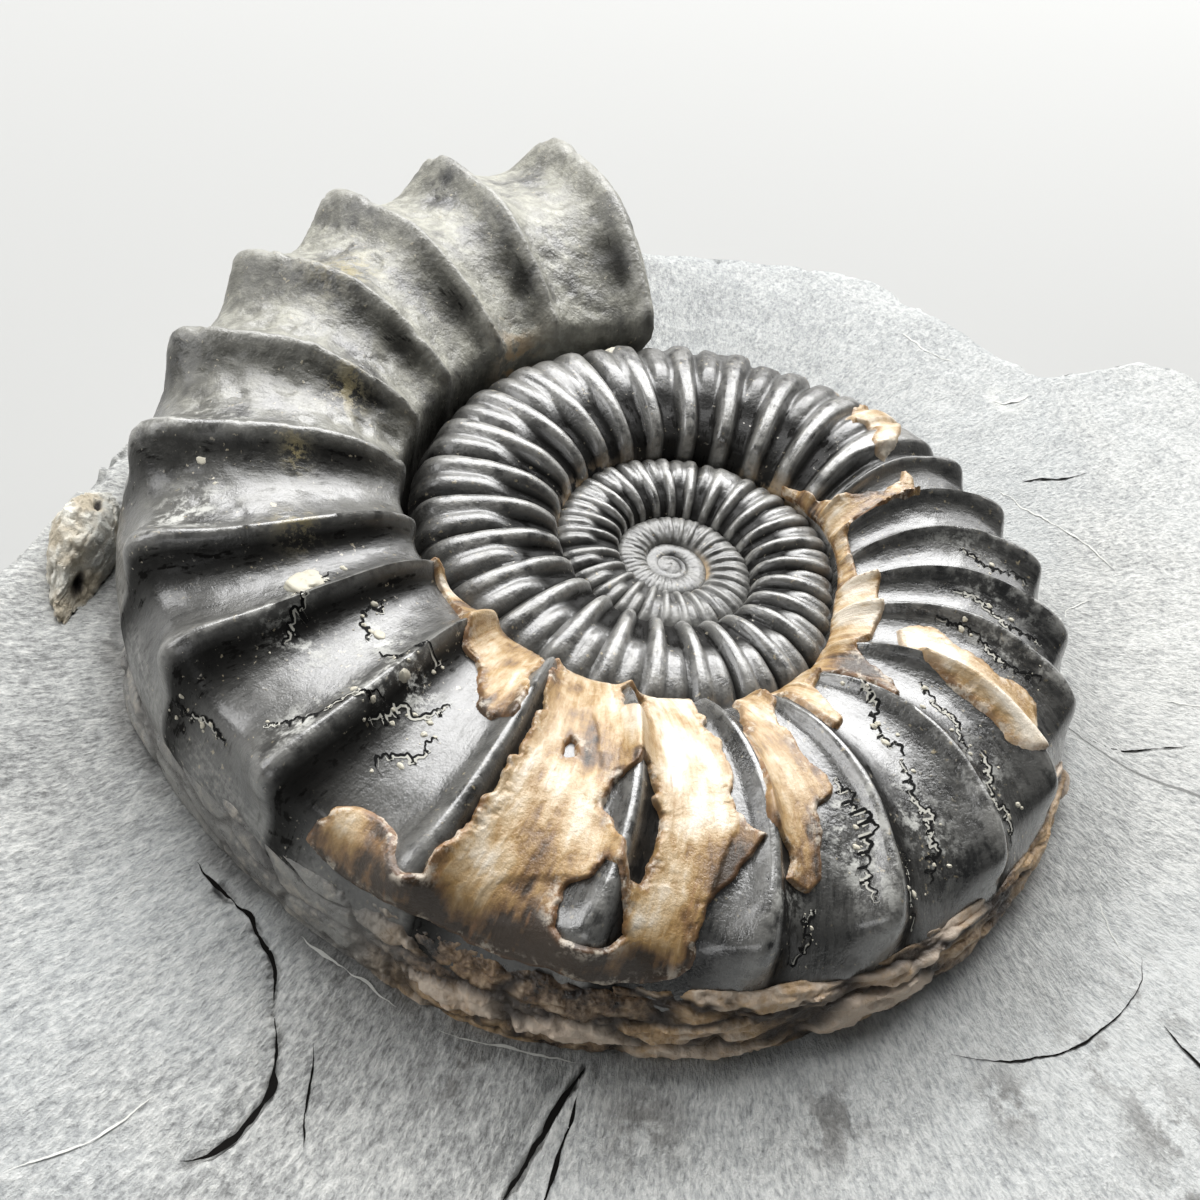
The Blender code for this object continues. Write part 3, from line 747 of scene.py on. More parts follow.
@dataclass(frozen=True)
class Mould:
    """The stone filling of the shell: every whorl, with ribs, spines, a worn nucleus and the broken end.

    Attributes:
        outer_columns: columns of the last whorl's mesh.
        outer_rows: its rows.
        inner_columns: columns of the inner whorls' mesh.
        inner_rows: its rows.
        first_angle: whorl angle at which the inner whorls begin.
        inner_end_share: share of their height that is made.
        ragged_place: around which whorl angle their edge is rough, and over how many degrees.
        knob_mm: radius and height of the knob in the middle.
        cap_rings: rings of the broken end's mesh.
        foot_points: points along the hidden foot of the broken end.
        foot_dip: how far that foot sags.
        fine: small roughness.
        coarse: wide roughness.
        pits: pits of the body chamber.
    """

    outer_columns: int = 680
    outer_rows: int = 92
    inner_columns: int = 1190
    inner_rows: int = 28
    first_angle: float = -1640.0
    inner_end_share: float = 0.95
    ragged_place: Pair = (-316.0, 24.0)
    knob_mm: Pair = (1.55, 0.42)
    cap_rings: int = 14
    foot_points: int = 20
    foot_dip: float = 0.003
    fine: Grain = Grain(size=1.1, seed=3, octaves=3)
    coarse: Grain = Grain(size=3.4, seed=11, octaves=3)
    pits: Grain = Grain(size=1.5, seed=23, octaves=2)

    def relief(self, points: Array, angle: Array, share: Array) -> Array:
        """Measures the stone's own roughness.

        Args:
            points: places about the coil axis, in millimetres.
            angle: whorl angles.
            share: shares of the whorl height.

        Returns:
            Height above the smooth mould, in metres.
        """
        chamber = smoothstep(-105.0, -45.0, angle)
        worn = smoothstep(-560.0, -760.0, angle)
        ragged = bell(angle, *self.ragged_place) * smoothstep(0.66, 0.86, share)
        fine = self.fine.at(points) * (0.020 + 0.055 * chamber + 0.02 * worn + 0.30 * ragged)
        coarse = self.coarse.at(points) * (0.035 + 0.13 * chamber + 0.03 * worn + 0.55 * ragged)
        pits = -0.22 * smoothstep(0.44, 0.66, self.pits.at(points)) * chamber * smoothstep(0.95, 0.8, share)
        return (fine + coarse + pits) * MM

    def strip(self, angles: Array, places: Array) -> Skin:
        """Makes a strip of the coil.

        Args:
            angles: whorl angles of its columns, counted along the ribs.
            places: distances of its rows along the section.

        Returns:
            The strip with its dust, powder, weathering and painted shade marks.
        """
        angle, place = np.meshgrid(angles, places, indexing="ij")
        share = COIL.section.at(place)[0]
        smooth = COIL.surface(angle, place)
        lift = self.relief(smooth / MM, angle, share)
        skin = Skin.from_grid(COIL.surface(angle, place, lift))
        skin.mark("flow", along_coil(angle, share))
        self.weather(skin, angle, share)
        return skin

    def weather(self, skin: Skin, angle: Array, share: Array) -> None:
        """Marks where dust, powder, olive stain and tan films lie, and where shade is painted.

        Args:
            skin: the strip to mark.
            angle: whorl angles counted along the ribs.
            share: shares of the whorl height.
        """
        true = angle + COIL.lean(angle, share)
        chamber = smoothstep(-92.0, -22.0, true)
        skin.mark("dust", chamber)
        for name, patches in (("powder", WHITE_POWDER), ("olive", OLIVE), ("tan", TAN)):
            amount = sum(
                patch.strength * bell(true, patch.angle, patch.width) * bell(share, patch.share, patch.spread)
                for patch in patches
            )
            skin.mark(name, np.clip(amount, 0, 1))
        skin.mark("venter", smoothstep(0.92, 0.97, share) * smoothstep(-128.0, -112.0, true))
        skin.mark("gloss", smoothstep(-118.0, -150.0, true) * smoothstep(-275.0, -235.0, true))
        # Painted shade: rib furrows and steep rib sides, lifted on the chamber except in its hollows
        unshaded_chamber = 0.75 * chamber * (1 - bell(share, 0.24, 0.13))
        # Painted shade along the body chamber's seam crevice
        crevice = smoothstep(0.14, 0.02, share) * smoothstep(-122.0, -100.0, true)
        crevice = crevice * (1 - bell(true, 0.0, 14.0))
        # Painted shade that dims the rough stretch of the inner whorl
        painted_ragged_shade = 0.36 * bell(true, *self.ragged_place) * smoothstep(0.1, 0.5, share)
        shade = np.maximum(COIL.shade(angle, share) * (1 - unshaded_chamber), 0.9 * crevice)
        skin.mark("shade", np.maximum(shade, painted_ragged_shade))
        skin.mark("nucleus", smoothstep(-720.0, -860.0, true))
        skin.mark("crest", COIL.rib_height(angle, share) ** 4)

    def broken_end(self, places: Array) -> Skin:
        """Closes the coil with a rough fracture.

        Args:
            places: distances of the end's edge along the section.

        Returns:
            The fracture.
        """
        angle = np.full_like(places, COIL.end_angle)
        share = COIL.section.at(places)[0]
        smooth = COIL.surface(angle, places)
        rim = COIL.surface(angle, places, self.relief(smooth / MM, angle, share))
        along = np.linspace(0.0, 1.0, self.foot_points + 2)[1:-1, None]
        foot = rim[-1] + (rim[0] - rim[-1]) * along
        foot[:, 2:] -= self.foot_dip * np.sin(math.pi * along)
        rim = np.vstack([rim, foot, rim[:1]])
        centre = rim.mean(axis=0)
        steps = (np.arange(self.cap_rings + 1) / self.cap_rings)[:, None, None]
        points = rim + (centre - rim) * steps
        compass = math.radians(COIL.bearing - COIL.end_angle)
        ahead = np.array([math.sin(compass), -math.cos(compass), 0.0])
        rough = self.coarse.at(points / MM) * 0.9 + self.fine.at(points / MM) * 0.35
        bulge = (rough + 0.5) * smoothstep(0.0, 0.25, steps[..., 0])
        points = points + ahead * (bulge * MM)[..., None]
        skin = Skin.from_grid(points)
        skin.mark("dust", np.ones(points.shape[:-1]))
        skin.mark("flow", points / MM)
        return skin

    def centre_knob(self) -> Skin:
        """Closes the middle of the coil with a small worn knob.

        Returns:
            The knob.
        """
        radius, height = self.knob_mm
        turn, out = np.meshgrid(np.linspace(0.0, math.tau, 90), np.linspace(0.0, 1.0, 26), indexing="ij")
        spin = turn + 2.2 * out
        hook = 0.34 * bell(out, 0.52, 0.13) * np.clip(np.sin(spin - 0.6), 0.0, 1.0)
        level = (height * (1 - out**2) ** 0.6 - hook * height - 0.12 * out) * (1 + 0.03 * np.cos(5 * spin))
        points = np.stack([radius * out * np.cos(turn), radius * out * np.sin(turn), level], axis=-1)
        skin = Skin.from_grid(points * MM)
        skin.mark("nucleus", np.ones(out.shape))
        # Painted shade in the knob's hook-shaped groove
        skin.mark("shade", np.clip(2.6 * hook, 0, 0.9))
        skin.mark("flow", points)
        return skin

    def build(self, finish: Material) -> Piece:
        """Makes the mould.

        Args:
            finish: its material.

        Returns:
            The object.
        """
        section = COIL.section
        places = np.linspace(0.0, section.end, self.outer_rows)
        outer = np.linspace(COIL.outer_start, COIL.end_angle, self.outer_columns)
        inner = np.linspace(self.first_angle, COIL.outer_start, self.inner_columns)
        last = float(section.place_of(np.array(self.inner_end_share)))
        inner_strip = self.strip(inner, np.linspace(0.0, last, self.inner_rows))
        skins = (self.strip(outer, places), inner_strip, self.broken_end(places), self.centre_knob())
        return reduce(Skin.with_skin, skins).make("ammonite_mould", finish, sharp=70.0)


@dataclass(frozen=True)
class Remnant:
    """A remnant of shell on the mould.

    Attributes:
        name: name of the piece.
        node: the solid that it stands for.
        outline: its edge in true whorl angle and share of the whorl height.
        holes: outlines in which the shell has come away.
        thickness_mm: how thick the shell is.
        scallop_mm: how far its edge wanders.
        step_mm: mesh size.
        pale: how cream it is, from brown at 0 to cream at 1.
        layers: share of it that keeps its outer layer.
    """

    name: str
    node: str
    outline: Line
    holes: tuple[Line, ...] = ()
    thickness_mm: float = 0.45
    scallop_mm: float = 0.55
    step_mm: float = 0.15
    pale: float = 0.6
    layers: float = 0.5


@dataclass(frozen=True)
class ShellWork:
    """Makes the shell remnants.

    Attributes:
        edge_mm: width of the rounded edge.
        sink_mm: how far the edge goes into the mould.
        margin_mm: how far the mesh reaches past the outline.
        margin_share: the same across the whorl, as a share of its height.
        wander: slow wandering of the edge.
        scallop: fine scallops of the edge.
        layer: where the outer layer is left.
        tone: patches of paler shell.
        lumps: unevenness of the shell's thickness.
    """

    edge_mm: float = 0.22
    sink_mm: float = 0.16
    margin_mm: float = 1.3
    margin_share: float = 0.04
    wander: Grain = Grain(size=2.3, seed=41, octaves=2)
    scallop: Grain = Grain(size=1.05, seed=47, octaves=3)
    layer: Grain = Grain(size=4.2, seed=53, octaves=3, falloff=0.6)
    tone: Grain = Grain(size=4.5, seed=59, octaves=3)
    lumps: Grain = Grain(size=0.9, seed=61, octaves=3)

    @staticmethod
    def plan(angle: Array, share: Array, centre: float) -> Array:
        """Unrolls a stretch of the whorl into a plane.

        Args:
            angle: true whorl angles.
            share: shares of the whorl height.
            centre: whorl angle of the plane's origin.

        Returns:
            Millimetres along and across the whorl.
        """
        radius = COIL.whorl_radius(angle) / MM
        middle = float(COIL.whorl_radius(np.array(centre))) / MM
        along = (radius - middle) / COIL.growth * (SEAM_REACH + FLANK_REACH * share)
        across = COIL.section.place_of(share) * radius
        return np.stack([along, across], axis=-1)

    def depth(self, remnant: Remnant, angle: Array, share: Array) -> Array:
        """Measures how far inside a remnant's ragged edge points lie.

        Args:
            remnant: which remnant.
            angle: true whorl angles.
            share: shares of the whorl height.

        Returns:
            Millimetres, negative outside.
        """
        centre = float(np.mean(np.array(remnant.outline)[:, 0]))
        points = self.plan(angle, share, centre)
        lines = (remnant.outline, *remnant.holes)
        inside, *holes = (inside_depth(points, self.plan(*np.array(line).T, centre)) for line in lines)
        for hole in holes:
            inside = np.minimum(inside, -hole)
        spot = with_level(points, centre)
        ragged = self.wander.at(spot) + 0.40 * self.scallop.at(spot)
        return inside + remnant.scallop_mm * ragged

    def build(self, remnant: Remnant, finish: Material) -> Piece:
        """Makes one remnant.

        Args:
            remnant: which remnant.
            finish: its material.

        Returns:
            The object.
        """
        outline = np.array(remnant.outline)
        low, high = outline.min(axis=0), outline.max(axis=0)
        radius = float(COIL.whorl_radius(np.array(outline[:, 0].mean()))) / MM
        reach = SEAM_REACH + FLANK_REACH * outline[:, 1].mean()
        per_degree = radius * reach * math.pi / 180
        margin = self.margin_mm / per_degree
        columns = int((high[0] - low[0] + 2 * margin) * per_degree / remnant.step_mm)
        least, most = max(low[1] - self.margin_share, 0.0), min(high[1] + self.margin_share, KEEL_SHARE)
        bottom, top = COIL.section.place_of(np.array([least, most]))
        rows = int((top - bottom) * radius / remnant.step_mm) + 2
        angles = np.linspace(low[0] - margin, high[0] + margin, columns)
        angle, place = np.meshgrid(angles, np.linspace(bottom, top, rows), indexing="ij")
        share = COIL.section.at(place)[0]
        depth = self.depth(remnant, angle, share)
        rib = COIL.rib_angle(angle, share)
        flow = along_coil(rib, share)
        outer = smoothstep(-0.10, 0.10, self.layer.at(flow * (1.0, 0.6, 1.0)) + remnant.layers - 0.5)
        outer = outer * smoothstep(0.1, 0.7, depth - 0.5 * self.scallop.at(flow * 1.4))
        base = COIL.surface(rib, place)
        edge = smoothstep(-self.edge_mm * 0.4, self.edge_mm, depth)
        thick = remnant.thickness_mm * (0.88 + 0.12 * outer) + 0.012 * self.lumps.at(base / MM)
        lift = (edge * (thick + self.sink_mm) - self.sink_mm) * MM
        points = COIL.surface(rib, place, lift)
        near = np.maximum.reduce([depth[:-1, :-1], depth[1:, :-1], depth[1:, 1:], depth[:-1, 1:]])
        skin = Skin.from_grid(points, keep=near > -0.18)
        skin.mark("flow", flow)
        skin.mark("rim", np.clip(depth, -1.0, 4.0))
        skin.mark("outer", outer)
        # The shell is made darker towards the venter
        darker_to_venter = 0.80 * smoothstep(0.80, 0.93, share)
        skin.mark("pale", np.clip(remnant.pale + 0.55 * self.tone.at(base / MM) - darker_to_venter, -0.2, 1))
        made = skin.make(remnant.name, finish, sharp=80.0)
        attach(made, "root")
        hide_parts(remnant.node)
        return made


# Edges of the remnants and of their holes: true whorl angle and share of the whorl height
SHEET_EDGE = (
    (-123.2, 0.067), (-125.0, 0.045), (-134.4, 0.035), (-143.6, 0.035), (-151.2, 0.035), (-154.4, 0.049),
    (-155.6, 0.233), (-158.0, 0.288), (-158.4, 0.399), (-158.0, 0.472), (-158.8, 0.558), (-160.8, 0.601),
    (-159.6, 0.650), (-156.8, 0.705), (-154.4, 0.760), (-154.0, 0.828), (-154.0, 0.901), (-152.0, 0.914),
    (-149.6, 0.926), (-145.6, 0.932), (-140.0, 0.926), (-133.6, 0.938), (-130.0, 0.914), (-126.8, 0.914),
    (-123.2, 0.932), (-119.6, 0.935), (-116.4, 0.920), (-116.4, 0.871), (-117.2, 0.816), (-119.2, 0.785),
    (-121.6, 0.779), (-124.0, 0.797), (-125.2, 0.822), (-126.8, 0.840), (-128.4, 0.834), (-128.4, 0.785),
    (-129.2, 0.724), (-129.2, 0.601), (-129.2, 0.478), (-128.8, 0.435), (-128.4, 0.300), (-126.0, 0.221),
    (-125.2, 0.086),
)  # fmt: skip
SHEET_HOLES = (
    ((-133.6, 0.380), (-134.4, 0.350), (-135.6, 0.362), (-136.0, 0.405), (-134.8, 0.423)),
    ((-139.4, 0.092), (-140.8, 0.080), (-143.2, 0.085), (-142.6, 0.215), (-140.4, 0.196)),
    (
        (-142.0, 0.484), (-143.6, 0.442), (-145.2, 0.405), (-147.2, 0.478), (-148.0, 0.564), (-148.0, 0.650),
        (-147.2, 0.730), (-146.0, 0.724), (-144.8, 0.662), (-143.2, 0.613), (-142.0, 0.546),
    ),
    (
        (-140.0, 0.852), (-139.6, 0.803), (-140.4, 0.760), (-142.0, 0.736), (-143.2, 0.693), (-144.4, 0.705),
        (-145.6, 0.767), (-146.4, 0.840), (-145.2, 0.858), (-142.8, 0.865), (-141.2, 0.871),
    ),
)  # fmt: skip
INNER_EDGE = (
    (-91.6, 0.120), (-93.0, 0.050), (-99.2, 0.030), (-107.6, 0.030), (-116.8, 0.035), (-121.5, 0.080),
    (-123.6, 0.160), (-124.4, 0.245), (-125.8, 0.288), (-127.2, 0.380), (-126.8, 0.417), (-124.8, 0.405),
    (-124.4, 0.429), (-122.4, 0.411), (-120.8, 0.392), (-119.2, 0.337), (-117.6, 0.294), (-114.8, 0.245),
    (-112.0, 0.245), (-110.0, 0.190), (-102.8, 0.135), (-97.2, 0.110),
)  # fmt: skip
LOWER_EDGE = (
    (-165.0, 0.035), (-171.6, 0.040), (-171.6, 0.153), (-170.4, 0.215), (-171.2, 0.270), (-171.6, 0.392),
    (-172.8, 0.435), (-173.6, 0.478), (-172.4, 0.509), (-170.4, 0.521), (-169.2, 0.570), (-168.8, 0.662),
    (-168.0, 0.730), (-166.0, 0.760), (-164.4, 0.742), (-162.8, 0.711), (-164.0, 0.662), (-163.6, 0.619),
    (-161.8, 0.576), (-161.6, 0.515), (-161.8, 0.374), (-161.8, 0.288), (-163.0, 0.153),
)  # fmt: skip
RIGHT_EDGE = (
    (-215.5, 0.215), (-218.4, 0.282), (-219.2, 0.350), (-218.0, 0.435), (-217.2, 0.533), (-216.8, 0.619),
    (-217.4, 0.717), (-216.8, 0.760), (-213.5, 0.790), (-209.0, 0.800), (-206.0, 0.770), (-205.2, 0.690),
    (-206.0, 0.607), (-206.0, 0.540), (-206.4, 0.466), (-206.8, 0.417), (-207.6, 0.331), (-211.0, 0.240),
)  # fmt: skip
SEAM_EDGE = (
    (-165.0, 0.025), (-168.0, 0.075), (-172.0, 0.055), (-178.6, 0.060), (-179.2, 0.196), (-179.6, 0.264),
    (-181.5, 0.294), (-184.0, 0.264), (-184.0, 0.200), (-184.5, 0.100), (-190.4, 0.080), (-194.5, 0.110),
    (-195.6, 0.239), (-196.0, 0.307), (-198.4, 0.315), (-200.6, 0.270), (-201.2, 0.208), (-202.6, 0.120),
    (-206.0, 0.090), (-210.4, 0.141), (-215.6, 0.150), (-220.0, 0.165), (-228.0, 0.145), (-232.4, 0.150),
    (-236.8, 0.085), (-246.0, 0.060), (-255.6, 0.070), (-260.0, 0.120), (-260.6, 0.227), (-261.2, 0.356),
    (-262.2, 0.430), (-266.0, 0.500), (-270.0, 0.535), (-271.6, 0.497), (-269.6, 0.442), (-267.2, 0.331),
    (-269.6, 0.245), (-269.2, 0.178), (-269.6, 0.100), (-274.0, 0.061), (-282.0, 0.055), (-288.0, 0.037),
    (-286.4, 0.018), (-270.0, 0.015), (-240.0, 0.015), (-200.0, 0.015), (-175.0, 0.015),
)  # fmt: skip
UPPER_EDGE = (
    (-292.0, 0.640), (-292.4, 0.791), (-289.0, 0.840), (-286.0, 0.860), (-285.0, 0.790), (-283.6, 0.717),
    (-280.6, 0.640), (-277.6, 0.564), (-275.6, 0.466), (-278.6, 0.440), (-281.6, 0.460), (-284.0, 0.560),
    (-286.4, 0.564), (-288.4, 0.500), (-291.6, 0.552),
)  # fmt: skip
REMNANTS = (
    Remnant("shell_sheet_front", "shell_sheet", SHEET_EDGE, SHEET_HOLES,
            thickness_mm=0.50, scallop_mm=0.30, step_mm=0.13, pale=0.50),
    Remnant("shell_patch_inner", "shell_flake_inner", INNER_EDGE,
            thickness_mm=0.38, scallop_mm=0.24, pale=0.36, layers=0.35),
    Remnant("shell_patch_lower", "shell_flake_lower", LOWER_EDGE,
            thickness_mm=0.45, scallop_mm=0.26, pale=0.42, layers=0.45),
    Remnant("shell_patch_right", "shell_flake_right", RIGHT_EDGE,
            thickness_mm=0.40, scallop_mm=0.24, pale=0.66, layers=0.7),
    Remnant("shell_seam_strip", "shell_seam_right", SEAM_EDGE,
            thickness_mm=0.42, scallop_mm=0.20, step_mm=0.15, pale=0.62, layers=0.45),
    Remnant("shell_patch_upper", "shell_flake_upper", UPPER_EDGE,
            thickness_mm=0.30, scallop_mm=0.28, pale=0.62, layers=0.4),
)  # fmt: skip


@dataclass(frozen=True)
class SutureRun:
    """A stretch of frilled suture line on the mould.

    Attributes:
        angles: true whorl angles of its two ends.
        shares: shares of the whorl height of its two ends.
        pitch_mm: length of one frill.
        depth_mm: how deep the frills hang.
        seed: which frills.
    """

    angles: Pair
    shares: Pair
    pitch_mm: float
    depth_mm: float
    seed: int


SUTURE_RUNS = (
    SutureRun((-100.5, -92.5), (0.62, 0.40), 1.15, 1.3, 1),
    SutureRun((-103.5, -98.5), (0.44, 0.32), 1.0, 0.8, 2),
    SutureRun((-107.5, -113.5), (0.80, 0.56), 0.85, 0.9, 3),
    SutureRun((-114.5, -119.0), (0.62, 0.44), 1.0, 1.2, 4),
    SutureRun((-118.5, -121.5), (0.70, 0.55), 1.2, 1.0, 5),
    SutureRun((-108.0, -112.5), (0.46, 0.36), 1.5, 0.5, 6),
    SutureRun((-97.5, -104.5), (0.935, 0.90), 0.9, 0.7, 7),
    SutureRun((-174.0, -172.5), (0.46, 0.80), 0.9, 1.2, 8),
    SutureRun((-165.5, -163.5), (0.80, 0.90), 0.8, 0.8, 9),
    SutureRun((-190.0, -186.0), (0.18, 0.46), 1.0, 0.8, 10),
    SutureRun((-186.5, -181.5), (0.48, 0.84), 0.85, 1.2, 11),
    SutureRun((-203.0, -198.5), (0.34, 0.60), 0.9, 0.8, 12),
    SutureRun((-199.0, -195.0), (0.62, 0.90), 0.85, 1.1, 13),
    SutureRun((-221.5, -219.0), (0.34, 0.74), 0.9, 0.7, 14),
    SutureRun((-233.0, -229.0), (0.42, 0.78), 0.9, 0.7, 15),
    SutureRun((-246.0, -243.0), (0.50, 0.80), 0.8, 0.6, 16),
    SutureRun((-178.0, -176.5), (0.72, 0.90), 0.8, 0.9, 17),
    SutureRun((-210.0, -207.5), (0.84, 0.93), 0.7, 0.6, 18),
)


@dataclass(frozen=True)
class Sutures:
    """Thin frilled lines where the chamber walls met the shell: a dark groove beside a pale thread.

    Attributes:
        width_mm: width of a groove.
        thread_share: width of a thread beside that of a groove.
        lift_mm: how far the lines stand off the mould.
        frill_steps: points along each frill.
        frill_share: spacing of the frills as a share of their pitch.
    """

    width_mm: float = 0.18
    thread_share: float = 0.8
    lift_mm: float = 0.045
    frill_steps: int = 26
    frill_share: float = 0.82

    @staticmethod
    def scale(run: SutureRun) -> Array:
        """Measures how long a degree and a whorl height are at a run.

        Args:
            run: which run.

        Returns:
            Millimetres for a degree along the whorl and for a whole whorl height across it.
        """
        radius = float(COIL.whorl_radius(np.array(sum(run.angles) / 2))) / MM
        reach = SEAM_REACH + FLANK_REACH * sum(run.shares) / 2
        return np.array([radius * reach * math.pi / 180, radius * CURVED_HEIGHT])

    def line(self, run: SutureRun) -> tuple[Array, Array]:
        """Draws the middle of one run as a row of rounded frills with narrow notches.

        Args:
            run: which run.

        Returns:
            True whorl angles and shares of the whorl height along it.
        """
        draw = np.random.default_rng(run.seed)
        scale = self.scale(run)
        ends = np.array([[run.angles[0], run.shares[0]], [run.angles[1], run.shares[1]]]) * scale
        way = ends[1] - ends[0]
        length = float(np.linalg.norm(way))
        way = way / length
        side = np.array([-way[1], way[0]])
        frills = max(3, round(length / (self.frill_share * run.pitch_mm)))
        phase = np.linspace(0.0, frills, frills * self.frill_steps + 1)
        index = np.minimum(phase.astype(int), frills - 1)
        part = phase - index
        depth = 0.68 * run.depth_mm * (0.35 + 0.75 * draw.random(frills))[index]
        lobe = np.sin(math.pi * part) ** 0.55
        bulb = 0.24 * run.pitch_mm * np.sin(math.tau * part) * (0.5 + draw.random(frills)[index])
        small = 0.08 * np.sin(math.tau * (phase * 3.0 + draw.random()))
        small = small + 0.05 * np.sin(math.tau * phase * 5.3)
        drift = 0.35 * np.sin(math.tau * (phase / frills * 1.3 + draw.random()))
        across = depth * lobe + (small + drift) * run.pitch_mm
        path = ends[0] + (phase / frills * length - bulb)[:, None] * way + across[:, None] * side
        path = path / scale
        return path[:, 0], np.clip(path[:, 1], 0.03, 0.965)

    @staticmethod
    def frame(angle: Array, share: Array) -> tuple[Array, Array]:
        """Finds points of the mould and the way out of it.

        Args:
            angle: true whorl angles.
            share: shares of the whorl height.

        Returns:
            Points about the coil axis and unit normals.
        """
        rib = COIL.rib_angle(angle, share)
        place = COIL.section.place_of(share)
        middle = COIL.surface(rib, place)
        outwards = COIL.surface(rib, place + 0.002) - middle
        up = unit(np.cross(outwards, COIL.surface(rib - 0.05, place) - middle))
        return middle, up * np.where(up[..., 2:] < 0, -1.0, 1.0)

    def ribbon(self, run: SutureRun, relief: Mould, width_mm: float, aside_mm: float) -> Skin:
        """Makes a narrow strip along one run.

        Args:
            run: which run.
            relief: the mould whose roughness it follows.
            width_mm: its width.
            aside_mm: how far it lies beside the middle line.

        Returns:
            The strip.
        """
        angle, share = self.line(run)
        middle, up = self.frame(angle, share)
        side = np.cross(unit(np.gradient(middle, axis=0)), up)
        wave = 0.8 + 0.5 * Grain(size=0.7, seed=run.seed, octaves=2).at(middle / MM)
        ends = np.minimum(np.linspace(0, 1, len(angle)), np.linspace(1, 0, len(angle)))
        if aside_mm:
            breaks = Grain(size=1.3, seed=run.seed + 50, octaves=2).at(middle / MM)
            wave = np.clip(0.25 + 2.2 * breaks, 0.02, 1.0)
        half = (0.5 * width_mm * MM * wave * np.clip(12 * ends, 0.15, 1))[:, None]
        lift = relief.relief(middle / MM, angle, share)[:, None] + self.lift_mm * MM
        line = middle + up * lift + side * aside_mm * MM
        return Skin.from_grid(np.stack([line - side * half, line, line + side * half], axis=1))

    def build(self, relief: Mould, name: str, finish: Material, aside_mm: float) -> Piece:
        """Makes all the runs as one piece.

        Args:
            relief: the mould whose roughness the lines follow.
            name: the piece's name.
            finish: its material.
            aside_mm: how far the lines lie beside the middle, which is 0 for the grooves.

        Returns:
            The object.
        """
        width_mm = self.width_mm * (self.thread_share if aside_mm else 1.0)
        skins = [self.ribbon(run, relief, width_mm, aside_mm) for run in SUTURE_RUNS]
        return reduce(Skin.with_skin, skins).make(name, finish)


@dataclass(frozen=True)
class Flecks:
    """Small lumps of pale calcite that cling to the mould along the sutures.

    Attributes:
        spots: true whorl angle, share of the whorl height, radius in mm and flatness of the larger ones.
        around: how many small ones lie about each suture.
        seed: which small ones.
        rough: relief of the lumps.
    """

    spots: tuple[tuple[float, float, float, float], ...] = (
        (-93.0, 0.495, 1.25, 0.42), (-91.6, 0.47, 0.7, 0.3), (-104.0, 0.40, 0.4, 0.4),
        (-112.5, 0.47, 0.55, 0.3), (-79.0, 0.50, 0.42, 0.3), (-73.5, 0.66, 0.45, 0.2),
        (-70.5, 0.70, 0.35, 0.2), (-349.0, 0.80, 0.7, 0.4),
    )  # fmt: skip
    around: int = 10
    seed: int = 77
    rough: Grain = Grain(size=0.8, seed=131, octaves=3)

    def lump(self, angle: float, share: float, size_mm: float, flat: float, seed: int) -> Skin:
        """Makes one lump.

        Args:
            angle: true whorl angle.
            share: share of the whorl height.
            size_mm: its radius.
            flat: its height as a share of its radius.
            seed: which shape.

        Returns:
            The lump.
        """
        turns, levels = (34, 12) if size_mm > 0.6 else (14, 6)
        turn, level = np.meshgrid(np.linspace(0, math.tau, turns), np.linspace(0, 1, levels), indexing="ij")
        rise = np.cos(level * math.pi / 2)
        out = np.sin(level * math.pi / 2)
        ball = np.stack([out * np.cos(turn), out * np.sin(turn), rise], axis=-1)
        broad, small = self.rough.at(ball * 0.8 + seed * 3.7), self.rough.at(ball * 2.4 + seed * 1.7)
        size = 1 + 0.36 * broad + 0.16 * small
        size[-1] = size[0]
        ball = ball * size[..., None]
        middle, up = Sutures.frame(np.array([angle]), np.array([share]))
        east = unit(np.cross(up[0], (0.3, 0.9, 0.1)))
        north = np.cross(up[0], east)
        points = ball[..., :1] * east + ball[..., 1:2] * north * 0.8 + (ball[..., 2:] * flat - 0.12) * up[0]
        return Skin.from_grid(middle[0] + points * size_mm * MM)

    def build(self, finish: Material) -> Piece:
        """Makes all the lumps as one piece.

        Args:
            finish: their material.

        Returns:
            The object.
        """
        draw = np.random.default_rng(self.seed)
        sutures = Sutures()
        skins = [self.lump(*spot, seed=number) for number, spot in enumerate(self.spots)]
        for run in SUTURE_RUNS:
            angle, share = sutures.line(run)
            scale = Sutures.scale(run)
            for _ in range(self.around):
                place = draw.integers(len(angle))
                aside = draw.normal(0.0, 0.42, 2) / scale
                size = 0.06 + 0.22 * draw.random() ** 3
                height = float(np.clip(share[place] + aside[1], 0.04, 0.95))
                skins.append(self.lump(angle[place] + aside[0], height, size, 0.6, int(draw.integers(1000))))
        return reduce(Skin.with_skin, skins).make("calcite_flecks", finish, sharp=80.0)


@dataclass(frozen=True)
class Crack:
    """A crack or groove in the top of the stone.

    Attributes:
        line: its corners in millimetres about the coil axis.
        width_mm: half width at the top.
        depth_mm: depth of its floor.
        bevel_mm: width of the worn slope on its left side.
    """

    line: Line
    width_mm: float
    depth_mm: float
    bevel_mm: float


